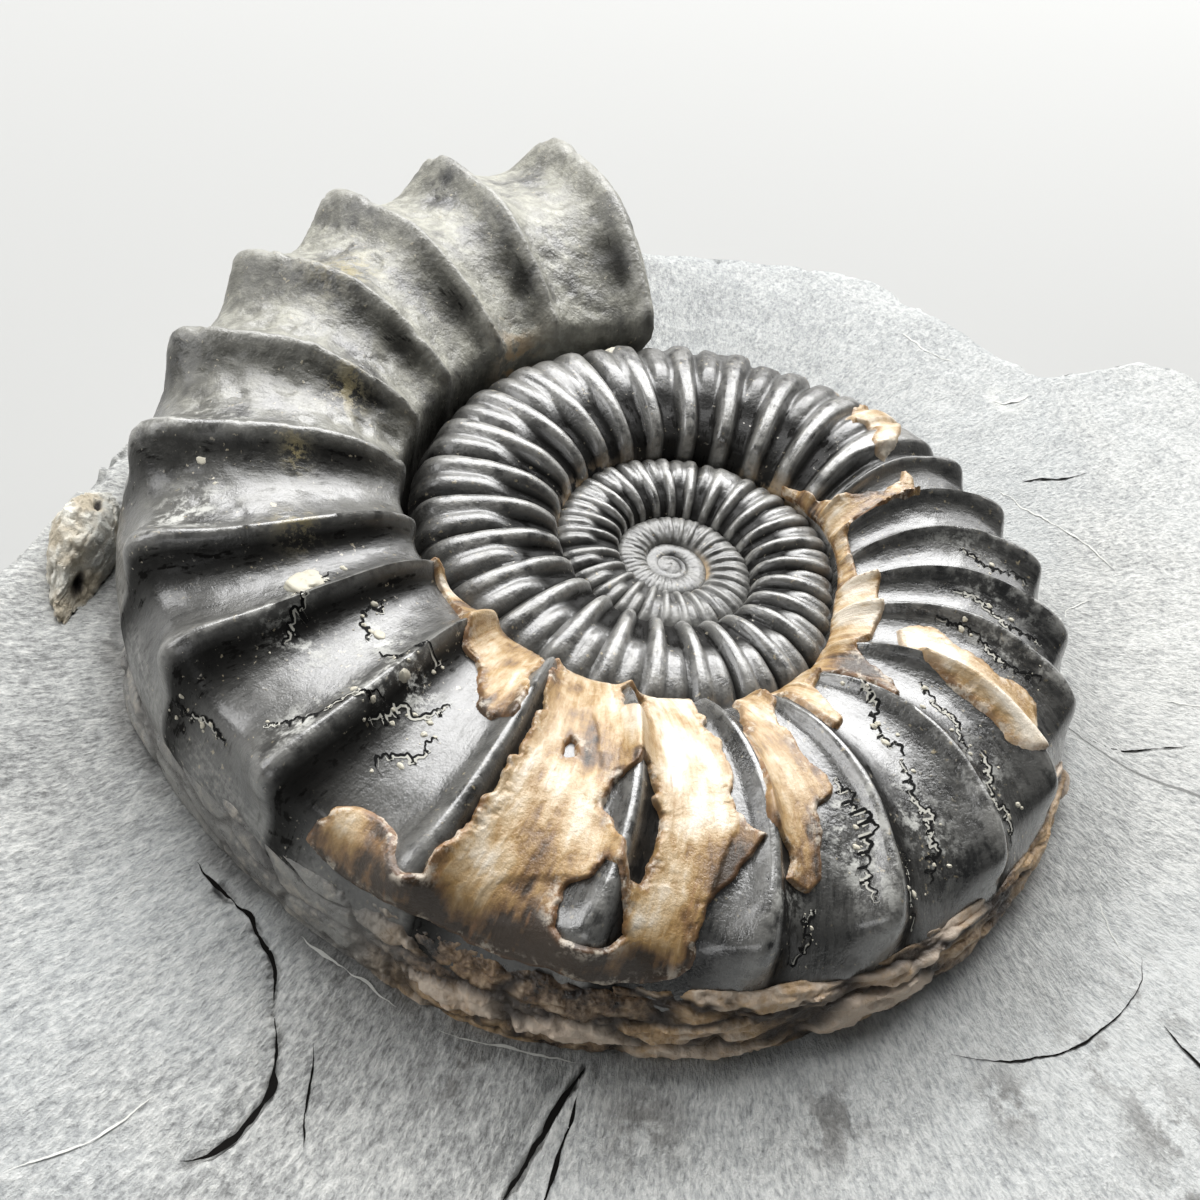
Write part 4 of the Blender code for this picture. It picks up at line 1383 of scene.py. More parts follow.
# The slab's edge, in metres about the coil axis
SLAB_OUTLINE = (
    (0.0570, 0.0050), (0.0590, 0.0240), (0.0575, 0.0450), (0.0490, 0.0565), (0.0400, 0.0572),
    (0.0340, 0.0520), (0.0296, 0.0494), (0.0245, 0.0500), (0.0165, 0.0540), (0.0090, 0.0569),
    (-0.0031, 0.0514), (-0.0137, 0.0467), (-0.0270, 0.0480), (-0.0345, 0.0375), (-0.0405, 0.0235),
    (-0.0418, 0.0057), (-0.0426, -0.0060), (-0.0426, -0.0154), (-0.0440, -0.0270), (-0.0430, -0.0400),
    (-0.0385, -0.0520), (-0.0270, -0.0590), (-0.0080, -0.0580), (0.0120, -0.0550), (0.0300, -0.0510),
    (0.0440, -0.0430), (0.0530, -0.0290), (0.0575, -0.0120),
)  # fmt: skip
# The two long cracks, in millimetres about the coil axis
LEFT_CRACK = (
    (-19.5, -31.9), (-17.6, -32.8), (-16.1, -33.4), (-15.0, -34.5), (-13.9, -35.4), (-13.1, -36.8),
    (-12.6, -38.2), (-11.9, -39.1), (-11.3, -40.6), (-10.9, -42.2), (-11.1, -43.5), (-11.5, -45.0),
    (-12.1, -46.0), (-13.0, -46.8),
)  # fmt: skip
FRONT_CRACK = (
    (4.2, -35.8), (3.9, -36.9), (3.5, -37.8), (3.2, -39.1), (2.8, -40.9), (2.4, -42.5), (2.1, -43.3),
)  # fmt: skip
CRACKS = (Crack(LEFT_CRACK, 0.30, 0.5, 1.1), Crack(FRONT_CRACK, 0.28, 0.7, 1.1))
# Middle and size of pale chips and of dark stains, in millimetres about the coil axis
CHIPS = (
    (-41.8, -33.0, 1.2), (-37.0, -46.5, 1.6), (-30.5, -47.5, 2.2), (-28.0, -49.0, 1.6), (25.2, 41.6, 1.6),
    (-36.8, -36.5, 0.9), (46.0, -30.0, 1.0),
)  # fmt: skip
STAINS = (
    (37.5, -27.0, 3.2), (39.5, -31.0, 2.6), (33.0, -24.5, 2.6), (37.5, -18.0, 2.6), (28.0, -29.0, 2.2),
    (18.0, -34.0, 2.4), (8.0, -37.5, 2.4), (-2.0, -38.0, 2.0), (-10.0, -35.5, 1.6),
)  # fmt: skip


@dataclass(frozen=True)
class Stone:
    """The slab: a recess that fits the mould, a weathered top with cracks, broken sides and a flat base.

    Attributes:
        top: height of the top.
        trough: depth of the furrow along the mould, its bearing, its spread in degrees and its width.
        rim_level: height of the stone at the mould, as a share of the whorl radius.
        lap_width: how far out the stone falls from there to its top.
        relief: height and size of the top's swells.
        clearance: degrees by which the recess stops short of the last whorl's two ends.
        wave: share by which the edge wanders, the radius it is read at and the size of a wander.
        sides: how far out the sides stand at shares of their depth.
        buried: shares of the whorl height and levels, in whorl radii, of the hidden lip under the mould.
        gap: space between the mould and the stone.
        columns: mesh columns around the slab.
        top_rows: mesh rows across the top.
        side_rows: mesh rows down the sides.
        dense: bearing, spread and strength of the places where the columns are closer together.
        rounding_mm: width of the worn edge.
        corner_drop: height that the edge's corner takes off the sides.
        bed_mm: thickness of a bed of the stone.
        medium: roughness of the top.
        fine: small roughness.
        ragged: chips of the edge.
        side: roughness of the sides.
    """

    top: float = -0.0043
    trough: tuple[float, float, float, float] = (0.0024, 205.0, 62.0, 0.009)
    rim_level: float = -0.078
    lap_width: float = 0.008
    relief: Pair = (0.0009, 0.028)
    clearance: Pair = (2.6, 1.6)
    wave: Triple = (0.010, 0.05, 0.012)
    sides: Line = ((0.0, 1.0), (0.20, 1.0), (0.55, 1.028), (0.90, 1.01), (1.0, 0.975))
    buried: Line = ((0.86, -0.135), (0.90, -0.128))
    gap: float = 0.0002
    columns: int = 1000
    top_rows: int = 60
    side_rows: int = 20
    dense: tuple[Triple, ...] = ((247.0, 13.0, 1.9), (275.0, 6.0, 1.6), (322.0, 16.0, 0.6))
    rounding_mm: float = 2.6
    corner_drop: float = 0.0006
    bed_mm: float = 3.1
    medium: Grain = Grain(size=7.0, seed=71, octaves=4)
    fine: Grain = Grain(size=1.4, seed=73, octaves=3)
    ragged: Grain = Grain(size=4.0, seed=79, octaves=3)
    side: Grain = Grain(size=9.0, seed=83, octaves=4, falloff=0.55)

    def column_angles(self) -> Array:
        """Spaces the columns, closer together where the cracks are.

        Returns:
            Whorl angles around the slab.
        """
        first, last = COIL.outer_start + self.clearance[0], COIL.end_angle + self.clearance[1]
        fine = np.linspace(first, last, 8000)
        bearing = (COIL.bearing - fine) % TURN
        density = 1.0 + sum(height * bell(bearing, centre, width) for centre, width, height in self.dense)
        total = np.concatenate([[0.0], np.cumsum((density[1:] + density[:-1]) / 2)])
        return np.interp(np.linspace(0, total[-1], self.columns), total, fine)

    def outline_radius(self, bearing: Array) -> Array:
        """Finds the slab's edge.

        Args:
            bearing: bearings in degrees.

        Returns:
            Distances from the coil axis.
        """
        ray = rays(bearing)
        radius = np.zeros(len(bearing))
        outline = np.array(SLAB_OUTLINE)
        for start, end in zip(outline, np.roll(outline, -1, axis=0)):
            side = end - start
            along = ray[:, 0] * side[1] - ray[:, 1] * side[0]
            along = np.where(np.abs(along) < 1e-12, 1e-12, along)
            distance = (start[0] * side[1] - start[1] * side[0]) / along
            part = (start[0] * ray[:, 1] - start[1] * ray[:, 0]) / along
            hit = (distance > 0) & (part >= 0) & (part <= 1)
            radius = np.where(hit, distance, radius)
        return radius

    @staticmethod
    def smooth_noise(points: Array) -> Array:
        """Reads the same soft relief as the solids use."""
        flat = points.reshape(-1, 3)
        return np.array([noise.noise(Vector(point)) for point in flat]).reshape(points.shape[:-1])

    def height(self, angle: Array, outside: Array) -> Array:
        """Finds the height of the stone's top without cracks.

        Args:
            angle: whorl angles.
            outside: distances outside the venter.

        Returns:
            Heights from the plane of coiling.
        """
        points = with_level((COIL.venter(angle) + outside)[..., None] * rays(COIL.bearing - angle))
        depth, centre, spread, width = self.trough
        offset = (COIL.bearing - angle - centre + TURN / 2) % TURN - TURN / 2
        relief = self.relief[0] * self.smooth_noise(points / self.relief[1])
        rough = (0.22 * self.medium.at(points / MM) + 0.07 * self.fine.at(points / MM)) * MM
        lap = self.rim_level * COIL.whorl_radius(angle) - self.top
        rise = lap * (1 - smoothstep(0.0, self.lap_width, outside))
        furrow = depth * bell(offset, 0.0, spread) * bell(outside, 0.0, width)
        return self.top + relief + rough + rise - furrow

    def crack_depth(self, points: Array) -> tuple[Array, Array]:
        """Measures the cracks.

        Args:
            points: x, y in millimetres.

        Returns:
            How deep the cracks cut, in millimetres, and how dark they are.
        """
        depth = np.zeros(points.shape[:-1])
        dark = np.zeros(points.shape[:-1])
        jitter = self.fine.at(with_level(points) * 1.6)
        for crack in CRACKS:
            line = np.array(crack.line)
            gap = distance_to_line(points, line) + 0.16 * jitter
            cut = crack.depth_mm * smoothstep(crack.width_mm, crack.width_mm * 0.35, gap)
            shifted = distance_to_line(points, line - np.array([0.55, 0.1]) * crack.bevel_mm)
            worn = 0.35 * crack.depth_mm * smoothstep(crack.bevel_mm, 0.1, shifted)
            depth = np.maximum.reduce([depth, cut, worn])
            dark = np.maximum(dark, 0.35 * smoothstep(crack.width_mm * 1.1, crack.width_mm * 0.3, gap))
        return depth, dark

    def build(self, finish: Material) -> Piece:
        """Makes the slab.

        Args:
            finish: its material.

        Returns:
            The object.
        """
        angle = self.column_angles()
        ray = rays(COIL.bearing - angle)
        venter = COIL.venter(angle)
        strength, reach, size = self.wave
        ring = with_level(ray * reach)
        edge = self.outline_radius(COIL.bearing - angle) * (1 + strength * self.smooth_noise(ring / size))
        edge = edge + 0.35 * MM * self.ragged.at(ring * edge[:, None] / reach / MM)

        share = np.linspace(0.0, 1.0, self.top_rows) ** 1.12
        outside = (edge - venter)[:, None] * share
        radius = venter[:, None] + self.gap + outside
        grid_angle = np.broadcast_to(angle[:, None], radius.shape)
        plan = radius[..., None] * ray[:, None, :]
        depth, dark = self.crack_depth(plan / MM)
        level = self.height(grid_angle, outside)
        chips = smoothstep(0.2, 0.5, self.ragged.at(with_level(plan / MM, level / MM) * 1.7))
        rounding = smoothstep(self.rounding_mm * MM, 0.0, edge[:, None] - venter[:, None] - outside)
        level = level - depth * MM - (0.5 + 0.9 * chips) * MM * rounding**2
        top = with_level(plan, level)

        shares, levels = np.array(self.buried).T
        buried_radius = COIL.radius_at(angle[:, None], shares)
        buried_level = levels * COIL.whorl_radius(angle)[:, None]
        buried = with_level(buried_radius[..., None] * ray[:, None, :], buried_level)

        down = np.linspace(0.0, 1.0, self.side_rows + 1)[1:]
        levels, scales = np.array(self.sides).T
        corner = top[:, -1:, 2]
        side_level = corner - self.corner_drop + (-BASE_DEPTH - corner + self.corner_drop) * down
        side_radius = edge[:, None] * np.interp(down, levels, scales)
        side = with_level(side_radius[..., None] * ray[:, None, :], side_level)
        beds = np.abs(((side[..., 2] / MM + 0.9 * self.side.at(side / MM)) / self.bed_mm) % 1.0 - 0.5)
        fade = smoothstep(0.0, 0.12, down) * smoothstep(1.0, 0.93, down)
        rough = 0.9 * self.side.at(side / MM * 1.3) + 0.32 * self.fine.at(side / MM) + 1.1 * (beds - 0.25)
        rough = rough * fade
        side[..., :2] += (rough * MM)[..., None] * ray[:, None, :]
        side[:, -1, 2] = -BASE_DEPTH

        points = np.concatenate([buried, top, side], axis=1)
        skin = Skin.from_grid(points, closed=True)
        lip, rows = len(self.buried), points.shape[1]
        first = np.arange(len(angle)) * rows + rows - 1
        centre = len(skin.points)
        base = np.stack([first, np.full(len(first), centre), np.roll(first, -1)], axis=-1)
        skin.points = np.vstack([skin.points, [[0.0, 0.0, -BASE_DEPTH]]])
        skin.triangles = base

        def whole(values: Array, before: float = 0.0, after: float = 0.0) -> Array:
            """Spreads values of the top over the whole slab.

            Args:
                values: numbers for the top's points.
                before: number for the buried points.
                after: number for the sides and the base.

            Returns:
                One number for each point.
            """
            full = np.full(points.shape[:2], before)
            full[:, lip : lip + self.top_rows] = values
            full[:, lip + self.top_rows :] = after
            return np.append(full.reshape(-1), after)

        skin.mark("crack", whole(dark))
        skin.mark("top", whole(np.ones_like(dark)))
        skin.mark("venter_gap", whole(outside / MM, 0.0, 30.0))
        # Painted light: the stone's top is painted lighter towards +X
        skin.mark("bleached", whole(smoothstep(-15.0, 42.0, plan[..., 0] / MM), 0.0, 0.5))
        arc = ((COIL.bearing - angle) % TURN)[:, None] * math.radians(45.0)
        out = np.hypot(points[..., 0], points[..., 1]) / MM
        streak = np.stack([np.broadcast_to(arc, out.shape), out, points[..., 2] / MM], axis=-1).reshape(-1, 3)
        skin.mark("streak", np.vstack([streak, [[0.0, 0.0, 0.0]]]))
        for name, spots in (("chip", CHIPS), ("stain", STAINS)):
            amount = np.zeros(plan.shape[:-1])
            for x, y, size_mm in spots:
                away = np.hypot(plan[..., 0] / MM - x, plan[..., 1] / MM - y)
                amount = np.maximum(amount, bell(away, 0.0, size_mm))
            skin.mark(name, whole(amount))
        return skin.make("stone_slab", finish, sharp=75.0)


@dataclass(frozen=True)
class Mark:
    """A fine line on the stone.

    Attributes:
        line: its corners in millimetres about the coil axis.
        width_mm: its greatest width.
        wobble_mm: how unsteady it is.
    """

    line: Line
    width_mm: float
    wobble_mm: float = 0.08


OPEN_CRACKS = (
    Mark(((-20.6, -31.2), *LEFT_CRACK[:6], (-12.75, -37.8)), 0.26),
    Mark(((-12.5, -38.3), *LEFT_CRACK[7:13], (-12.6, -46.6), (-13.6, -46.9)), 0.36),
    Mark(((-9.9, -38.9), (-9.7, -39.6), (-9.4, -40.4), (-9.1, -41.8), (-8.7, -43.0), (-8.1, -44.4)), 0.13),
    Mark(((4.3, -35.7), *FRONT_CRACK[1:6], (2.0, -43.6)), 0.34),
    Mark(((4.2, -37.0), (4.4, -38.7), (4.2, -39.7), (4.2, -40.9), (4.2, -42.2), (4.1, -43.2)), 0.22),
    Mark(((24.0, -27.7), (25.7, -27.4), (28.1, -26.5), (30.5, -25.2), (32.3, -23.8), (34.2, -21.7),
          (35.6, -19.7), (36.4, -18.1), (36.8, -16.5), (36.6, -15.5)), 0.13),
    Mark(((37.8, -20.1), (38.7, -21.1), (39.9, -22.2), (41.0, -23.4)), 0.20),
    Mark(((31.5, 0.0), (34.7, 0.9), (37.8, 2.6), (41.8, 4.8)), 0.12),
    Mark(((27.0, 29.5), (29.5, 31.5), (31.0, 32.0), (33.5, 34.5)), 0.22),
)  # fmt: skip
SCRATCHES = (
    Mark(((-13.2, -33.6), (-12.7, -33.9), (-10.6, -34.6), (-8.6, -35.1), (-6.3, -35.9)), 0.16),
    Mark(((-4.2, -36.3), (-2.6, -36.4), (-0.4, -36.2), (1.8, -36.0), (3.9, -35.7)), 0.14),
    Mark(((-20.9, -50.2), (-18.8, -48.6), (-17.6, -47.4), (-16.6, -45.5), (-15.9, -44.2)), 0.12),
    Mark(((-33.5, -30.5), (-32.6, -33.0), (-31.6, -34.5)), 0.20),
    Mark(((-27.5, -49.5), (-26.3, -47.5), (-25.6, -47.0), (-26.4, -45.4)), 0.35, 0.2),
    Mark(((-33.5, -44.5), (-32.0, -43.2), (-31.0, -43.4)), 0.45, 0.2),
    Mark(((-35.5, -36.0), (-34.8, -37.8), (-35.6, -38.8)), 0.40, 0.2),
    Mark(((26.0, 6.0), (29.5, 9.0), (31.0, 14.0), (34.5, 18.5)), 0.10, 0.3),
    Mark(((24.5, 27.5), (28.0, 26.0), (33.0, 24.5), (36.5, 21.5)), 0.20, 0.3),
    Mark(((31.0, -6.0), (33.5, -9.5), (34.0, -14.0), (37.0, -17.5)), 0.10, 0.2),
    Mark(((14.0, 47.0), (17.0, 45.5), (20.5, 45.0)), 0.25, 0.3),
    Mark(((23.8, 40.8), (25.3, 41.1), (26.7, 42.4), (27.7, 44.4)), 0.35, 0.2),
    Mark(((38.0, 8.0), (42.0, 9.0), (47.0, 12.0)), 0.12, 0.2),
    Mark(((20.0, -41.5), (25.0, -42.5), (30.0, -41.0), (33.5, -37.5)), 0.10, 0.15),
    Mark(((34.0, -33.5), (36.0, -36.0), (36.5, -39.5)), 0.14, 0.2),
)  # fmt: skip


@dataclass(frozen=True)
class StoneMarks:
    """Fine open cracks and pale scratches on top of the stone.

    Attributes:
        stone: the slab they lie on.
        step_mm: length of a mesh cell.
        lift_mm: how far they stand off the stone.
        sink_mm: how far they go down into a crack at most.
        jitter: how their sides and middle wander.
    """

    stone: Stone
    step_mm: float = 0.18
    lift_mm: float = 0.07
    sink_mm: float = 0.13
    jitter: Grain = Grain(size=1.0, seed=151, octaves=3)

    def ribbon(self, mark: Mark, seed: int) -> Skin:
        """Makes one line as a narrow strip that tapers at both ends.

        Args:
            mark: which line.
            seed: which wobble.

        Returns:
            The strip.
        """
        corner = np.array(mark.line)
        gaps = np.linalg.norm(np.diff(corner, axis=0), axis=1)
        total = np.concatenate([[0.0], np.cumsum(gaps)])
        count = max(12, int(total[-1] / self.step_mm))
        along = np.linspace(0, total[-1], count)
        line = np.stack([np.interp(along, total, corner[:, axis]) for axis in (0, 1)], axis=-1)
        smooth = max(1, int(0.5 * len(line) / len(corner)))
        padded = np.pad(line, ((smooth, smooth), (0, 0)), mode="edge")
        window = np.ones(2 * smooth + 1) / (2 * smooth + 1)
        line = np.stack([np.convolve(padded[:, axis], window, "valid") for axis in (0, 1)], axis=-1)
        spot = np.stack([along, np.full(count, seed * 9.1), np.zeros(count)], axis=-1)
        way = unit(np.gradient(line, axis=0))
        side = np.stack([-way[:, 1], way[:, 0]], axis=-1)
        line = line + side * (mark.wobble_mm * self.jitter.at(spot))[:, None]
        share = along / total[-1]
        taper = np.clip(4 * np.minimum(share, 1 - share), 0.08, 1.0)
        half = 0.5 * mark.width_mm * taper * (0.85 + 0.6 * self.jitter.at(spot + 40.0))
        rows = line[:, None] + side[:, None] * np.array([-1.0, 0.0, 1.0])[None, :, None] * half[:, None, None]
        radius = np.hypot(rows[..., 0], rows[..., 1]) * MM
        angle = COIL.angle_at(np.degrees(np.arctan2(rows[..., 1], rows[..., 0])))
        level = self.stone.height(angle, radius - COIL.venter(angle))
        depth, _ = self.stone.crack_depth(rows)
        level = level - np.minimum(depth, self.sink_mm) * MM + self.lift_mm * MM
        return Skin.from_grid(with_level(rows * MM, level))

    def build(self, name: str, marks: tuple[Mark, ...], finish: Material) -> Piece:
        """Makes all the lines of one kind as one named piece."""
        skins = [self.ribbon(mark, number) for number, mark in enumerate(marks)]
        return reduce(Skin.with_skin, skins).make(name, finish)


@dataclass(frozen=True)
class Crust:
    """The lumpy crust along the foot of the venter, thin and grey at the left, thick and brown in front.

    Attributes:
        bearings: where it begins and ends.
        thick: bearings between which it thickens.
        brown: bearings between which it turns from grey to brown.
        loose: bearings between which its grains come to stand out.
        columns: mesh columns along it.
        rows: mesh rows across it.
        foot_mm: how far its foot reaches out over the stone.
        lump_mm: size of a lump along the crust, out of it and up.
        grain_mm: the same for the small lumps.
        chunks: the lumps.
        grains: the small lumps.
        rough: small roughness.
        swell: wide swells.
    """

    bearings: Pair = (206.0, 353.5)
    thick: Pair = (244.0, 276.0)
    brown: Pair = (252.0, 264.0)
    loose: Pair = (246.0, 262.0)
    columns: int = 1300
    rows: int = 50
    foot_mm: float = 0.6
    lump_mm: Triple = (4.2, 2.0, 1.9)
    grain_mm: Triple = (1.6, 0.85, 0.75)
    chunks: Lumps = Lumps(size=1.0, seed=5)
    grains: Lumps = Lumps(size=1.0, seed=9)
    rough: Grain = Grain(size=0.9, seed=91, octaves=4, falloff=0.6)
    swell: Grain = Grain(size=5.0, seed=97, octaves=2)

    def ends(self, bearing: Array, left: float, right: float) -> Array:
        """Falls from 1 to 0 over so many degrees at the two ends."""
        first, last = self.bearings
        return smoothstep(0.0, left, bearing - first) * smoothstep(0.0, right, last - bearing)

    def build(self, finish: Material, stone: Stone) -> Piece:
        """Makes the crust.

        Args:
            finish: its material.
            stone: the slab it sits on.

        Returns:
            The object.
        """
        bearing = np.linspace(*self.bearings, self.columns)
        angle = COIL.angle_at(bearing)
        ray = rays(bearing)
        venter = COIL.venter(angle)
        body = 0.22 + 0.78 * smoothstep(*self.thick, bearing)
        ends = self.ends(bearing, 6.0, 7.0) * body
        share_top = 0.985 - 0.045 * smoothstep(0.05, 0.5, ends)
        rib = COIL.rib_angle(angle, share_top)
        top = COIL.surface(rib, COIL.section.place_of(share_top))
        raised = smoothstep(216.0, 240.0, bearing) * smoothstep(0.0, 0.2, ends)
        first_level = top[:, 2] * raised - (0.3 + 3.0 * (1 - raised)) * MM
        fade = self.ends(bearing, 8.0, 8.0)
        ground = stone.height(angle, np.zeros_like(angle)) - 0.4 * MM
        first_level = ground + (first_level - ground) * fade
        inner = np.minimum(np.hypot(top[:, 0], top[:, 1]), venter) - 0.25 * MM
        first = np.stack([inner, first_level], axis=-1)
        sunk = 0.8 * (1 - fade)
        foot = venter + (0.10 - sunk + self.foot_mm * ends * smoothstep(238.0, 275.0, bearing)) * MM
        last = np.stack([foot, stone.height(angle, foot - venter) - 0.5 * MM], axis=-1)
        corner = np.stack([venter + (0.15 - sunk + 0.45 * ends) * MM, first_level + 0.1 * MM], axis=-1)
        share = np.linspace(0.0, 1.0, self.rows)[None, :, None]
        profile = (1 - share) ** 2 * first[:, None] + 2 * share * (1 - share) * corner[:, None]
        profile = profile + share**2 * last[:, None]
        way = np.gradient(profile, axis=1)
        out = unit(np.stack([-way[..., 1], way[..., 0]], axis=-1))
        arc = np.broadcast_to((np.radians(bearing) * venter / MM)[:, None], profile.shape[:2])
        place = np.stack([arc, profile[..., 0] / MM, profile[..., 1] / MM], axis=-1)
        bends = (self.swell.at(place * 1.7), self.rough.at(place * 0.5), self.swell.at(place * 1.9 + 5.0))
        warped = place + 0.5 * np.stack(bends, axis=-1)
        middle, gap, value = self.chunks.at(warped / self.lump_mm)
        grain_middle, grain_gap, grain_value = self.grains.at(warped / self.grain_mm)
        dome = np.sqrt(np.clip(1 - middle**2, 0, 1)) * smoothstep(0.0, 0.22, gap)
        small = np.sqrt(np.clip(1 - grain_middle**2, 0, 1)) * smoothstep(0.0, 0.3, grain_gap)
        calm = (0.30 + 0.70 * smoothstep(*self.loose, bearing))[:, None]
        rise = 0.62 * dome * (0.2 + 0.9 * value) + 0.30 * calm * small * (0.3 + 0.9 * grain_value)
        rise = rise + 0.24 * calm * self.rough.at(place * 1.4) + 0.36 * self.swell.at(place)
        rise = rise - 0.10 - 0.22 * ends[:, None]
        line = share[..., 0]
        held = smoothstep(0.0, 0.10, line) * smoothstep(1.0, 0.90, line)
        held = held * ((0.35 + 0.65 * ends) * fade)[:, None]
        profile = profile + out * (rise * held * MM)[..., None]
        points = with_level(profile[..., :1] * ray[:, None], profile[..., 1])
        skin = Skin.from_grid(points)
        # Where shade is painted, in the gaps between lumps
        skin.mark("gap", np.clip(1 - smoothstep(0.01, 0.24, gap), 0, 1))
        skin.mark("tone", value)
        skin.mark("rise", smoothstep(-0.3, 0.7, rise))
        skin.mark("brown", np.broadcast_to(smoothstep(*self.brown, bearing)[:, None], points.shape[:2]))
        return skin.make("crust_ledge", finish, sharp=80.0)


@dataclass(frozen=True)
class Fragment:
    """The broken lump of shell that lies on the stone beside the body chamber.

    Attributes:
        bearing: where it lies.
        outside: distance of its middle from the venter.
        half_size: half its size outwards, along the venter and up.
        seat: height of its middle above the stone.
        hollows: direction, depth and width of its hollows, as shares of its size.
        taper: share by which it is thinner at one end.
        subdivisions: how fine its mesh is.
        rough: roughness.
        lumps: granules.
    """

    bearing: float = 197.0
    outside: float = 0.0031
    half_size: Triple = (0.0022, 0.0056, 0.0036)
    seat: float = 0.0002
    hollows: tuple[tuple[Triple, float, float], ...] = (
        ((-0.45, 0.80, 0.40), 0.42, 0.45),
        ((-0.35, -0.45, 0.82), 0.16, 0.18),
    )
    taper: float = 0.42
    subdivisions: int = 6
    rough: Grain = Grain(size=0.55, seed=101, octaves=4, falloff=0.6)
    lumps: Lumps = Lumps(size=0.30, seed=13)

    def build(self, finish: Material, stone: Stone) -> Piece:
        """Makes the fragment.

        Args:
            finish: its material.
            stone: the slab it lies on.

        Returns:
            The object.
        """
        bpy.ops.mesh.primitive_ico_sphere_add(subdivisions=self.subdivisions, radius=1.0)
        ball = bpy.context.object
        points = np.empty(len(ball.data.vertices) * 3, np.float32)
        ball.data.vertices.foreach_get("co", points)
        faces = np.empty(len(ball.data.loops), np.int32)
        ball.data.loops.foreach_get("vertex_index", faces)
        bpy.data.objects.remove(ball)
        points = points.reshape(-1, 3).astype(float)
        spots = points * np.array(self.half_size) / self.half_size[2]
        _, gap, value = self.lumps.at(spots)
        size = 1 + 0.15 * self.rough.at(spots) + 0.07 * smoothstep(0.0, 0.25, gap) * value
        dark = np.zeros(len(points))
        for centre, depth, width in self.hollows:
            hole = bell(np.linalg.norm(points - np.array(centre), axis=-1), 0.0, width)
            size = size - depth * hole**1.5
            # Painted shade in the deepest part of each hollow
            dark = np.maximum(dark, smoothstep(0.45, 0.85, hole))
        taper = 1 - self.taper * smoothstep(-0.1, 1.0, points[:, 1])
        shaped = points * size[:, None] * np.stack([taper, np.ones_like(taper), taper], axis=-1)
        shaped[:, 2] = np.maximum(shaped[:, 2], -0.05)
        shaped = shaped * np.array(self.half_size)
        angle = COIL.angle_at(self.bearing)
        radius = float(COIL.venter(np.array(angle))) + self.outside
        level = float(stone.height(np.array([angle]), np.array([self.outside]))[0]) + self.seat
        turn = Matrix.Rotation(math.radians(self.bearing), 3, "Z")
        seat = np.array([*(radius * rays(self.bearing)), level])
        skin = Skin(shaped @ np.array(turn).T + seat, np.zeros((0, 4), int), faces.reshape(-1, 3))
        # Where shade is painted
        skin.mark("dark", dark)
        skin.mark("gap", 1 - smoothstep(0.0, 0.2, gap))
        skin.mark("upper", smoothstep(0.0, 0.7, -points[:, 0] - 0.3 * points[:, 1]))
        return skin.make("shell_lump", finish, sharp=80.0)


class Sum(Enum):
    """A sum that a Math node does."""

    ADD = "ADD"
    SUBTRACT = "SUBTRACT"
    MULTIPLY = "MULTIPLY"


Socket = bpy.types.NodeSocket


